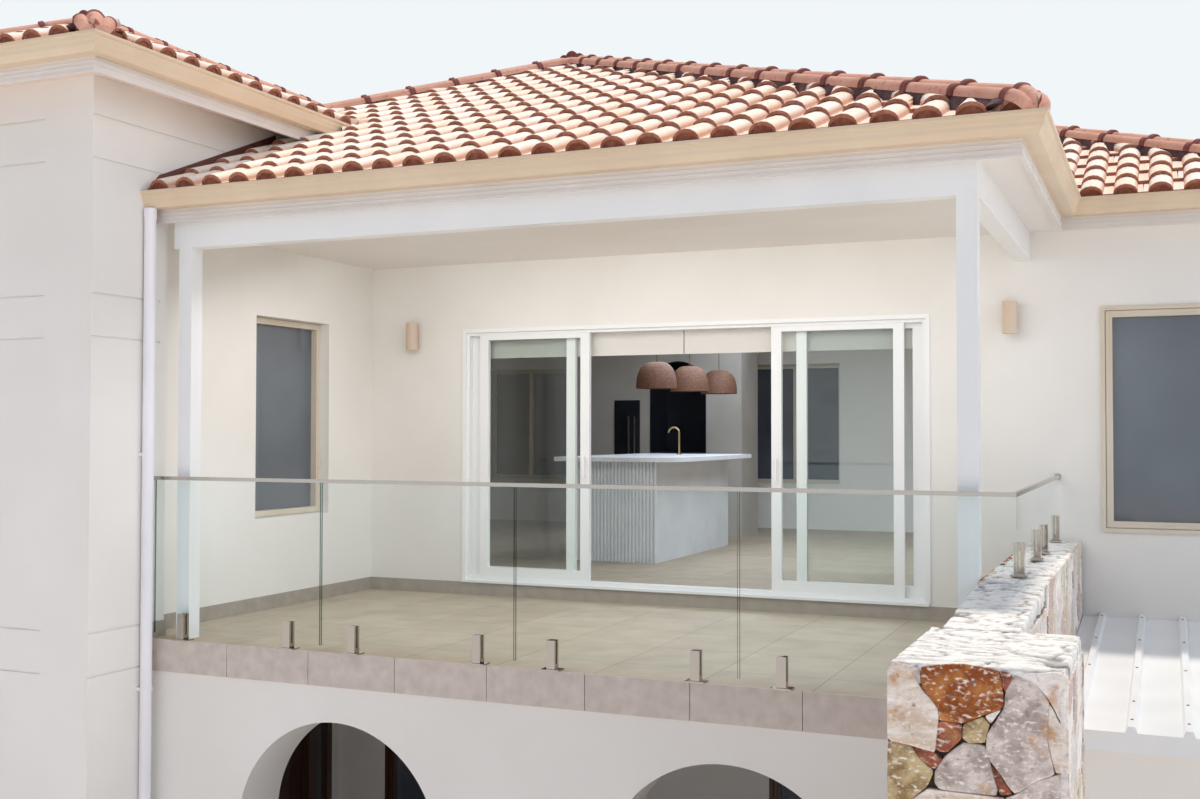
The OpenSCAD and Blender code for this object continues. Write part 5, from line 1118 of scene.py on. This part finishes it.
# roofing screws on the ribs of the metal roof; rings are the levels and widths of a screw's head
screws = {"first": 5.495, "pitch": 0.24, "ribs": 5, "rows": (0.12, 0.85, 1.6, 2.35, 2.7), "wall": 2.766,
          "top": site["deck"] + 0.095 + 0.0285, "fall": math.radians(3), "radius": 0.008, "height": 0.0045, "sides": 8,
          "rings": ((0.0, 1.0), (0.35, 1.0), (0.75, 0.75), (1.0, 0.4))}
sideCount = screws["sides"]
screwPoints, screwFaces = [], []
for level, share in screws["rings"]:
    reach = screws["radius"] * share
    screwPoints += [(reach * math.cos(a), reach * math.sin(a), screws["height"] * level)
                    for a in np.linspace(0, 2 * math.pi, sideCount + 1)[:-1]]
for first in range(0, len(screwPoints) - sideCount, sideCount):
    for i in range(sideCount):
        a, b = first + i, first + (i + 1) % sideCount
        screwFaces.append((a, b, b + sideCount, a + sideCount))
screwFaces += [tuple(range(sideCount - 1, -1, -1)), tuple(range(len(screwPoints) - sideCount, len(screwPoints)))]
screwBody = plainMesh("screwBody", screwPoints, screwFaces, finish["screw"])
screwSpots = [toPart(screws["first"] + screws["pitch"] * i, screws["wall"] - row,
                     screws["top"] - row * math.tan(screws["fall"]))
              for i in range(screws["ribs"]) for row in screws["rows"]]
roofScrews = runTree(plainMesh("roofScrews", screwSpots, [], finish["screw"]), courses, {
    "Tile": screwBody, "Pitch": screws["fall"], "Unevenness": 0.3, "Seed": 51, "Material": finish["screw"]})
bpy.data.objects.remove(screwBody)
finishPiece(roofScrews)

# dark tiled lining of the arched niche in the kitchen's wall: an outer and an inner shell, closed along the front
niche = {"left": 0.27, "right": 0.97, "bench": 3.95, "spring": 4.686, "back": 8.55, "front": 7.995, "play": 0.001,
         "skin": 0.012, "inward": 1.3, "steps": 24}
nicheRadius = (niche["right"] - niche["left"]) / 2
nicheMiddle, nicheLevel = niche["left"] + nicheRadius, (niche["bench"] + niche["spring"]) / 2
nicheArch = [(nicheMiddle + nicheRadius * math.cos(a), niche["spring"] + nicheRadius * math.sin(a))
             for a in np.linspace(0, math.pi, niche["steps"] + 1)]
nicheOutline = [(niche["left"], niche["bench"]), (niche["right"], niche["bench"])] + nicheArch
linedPoints, linedFaces = [], []
for shrink, depths in ((niche["play"], (niche["front"], niche["back"])),
                       (niche["skin"], (niche["front"], niche["back"] - niche["skin"]))):
    for y in depths:
        for x, z in nicheOutline:
            away = Vector((x - nicheMiddle, z - nicheLevel))
            away *= 1 - shrink / away.length * niche["inward"]
            linedPoints.append(toPart(nicheMiddle + away.x, y, nicheLevel + away.y))
ring = len(nicheOutline)
for i in range(ring):
    j = (i + 1) % ring
    linedFaces += [(i, j, j + ring, i + ring), (2 * ring + i, 3 * ring + i, 3 * ring + j, 2 * ring + j),
                   (i, 2 * ring + i, 2 * ring + j, j)]
linedFaces += [tuple(range(ring, 2 * ring)), tuple(range(4 * ring - 1, 3 * ring - 1, -1))]
finishPiece(facedOut(plainMesh("nicheLining", linedPoints, linedFaces, finish["nicheTile"])))
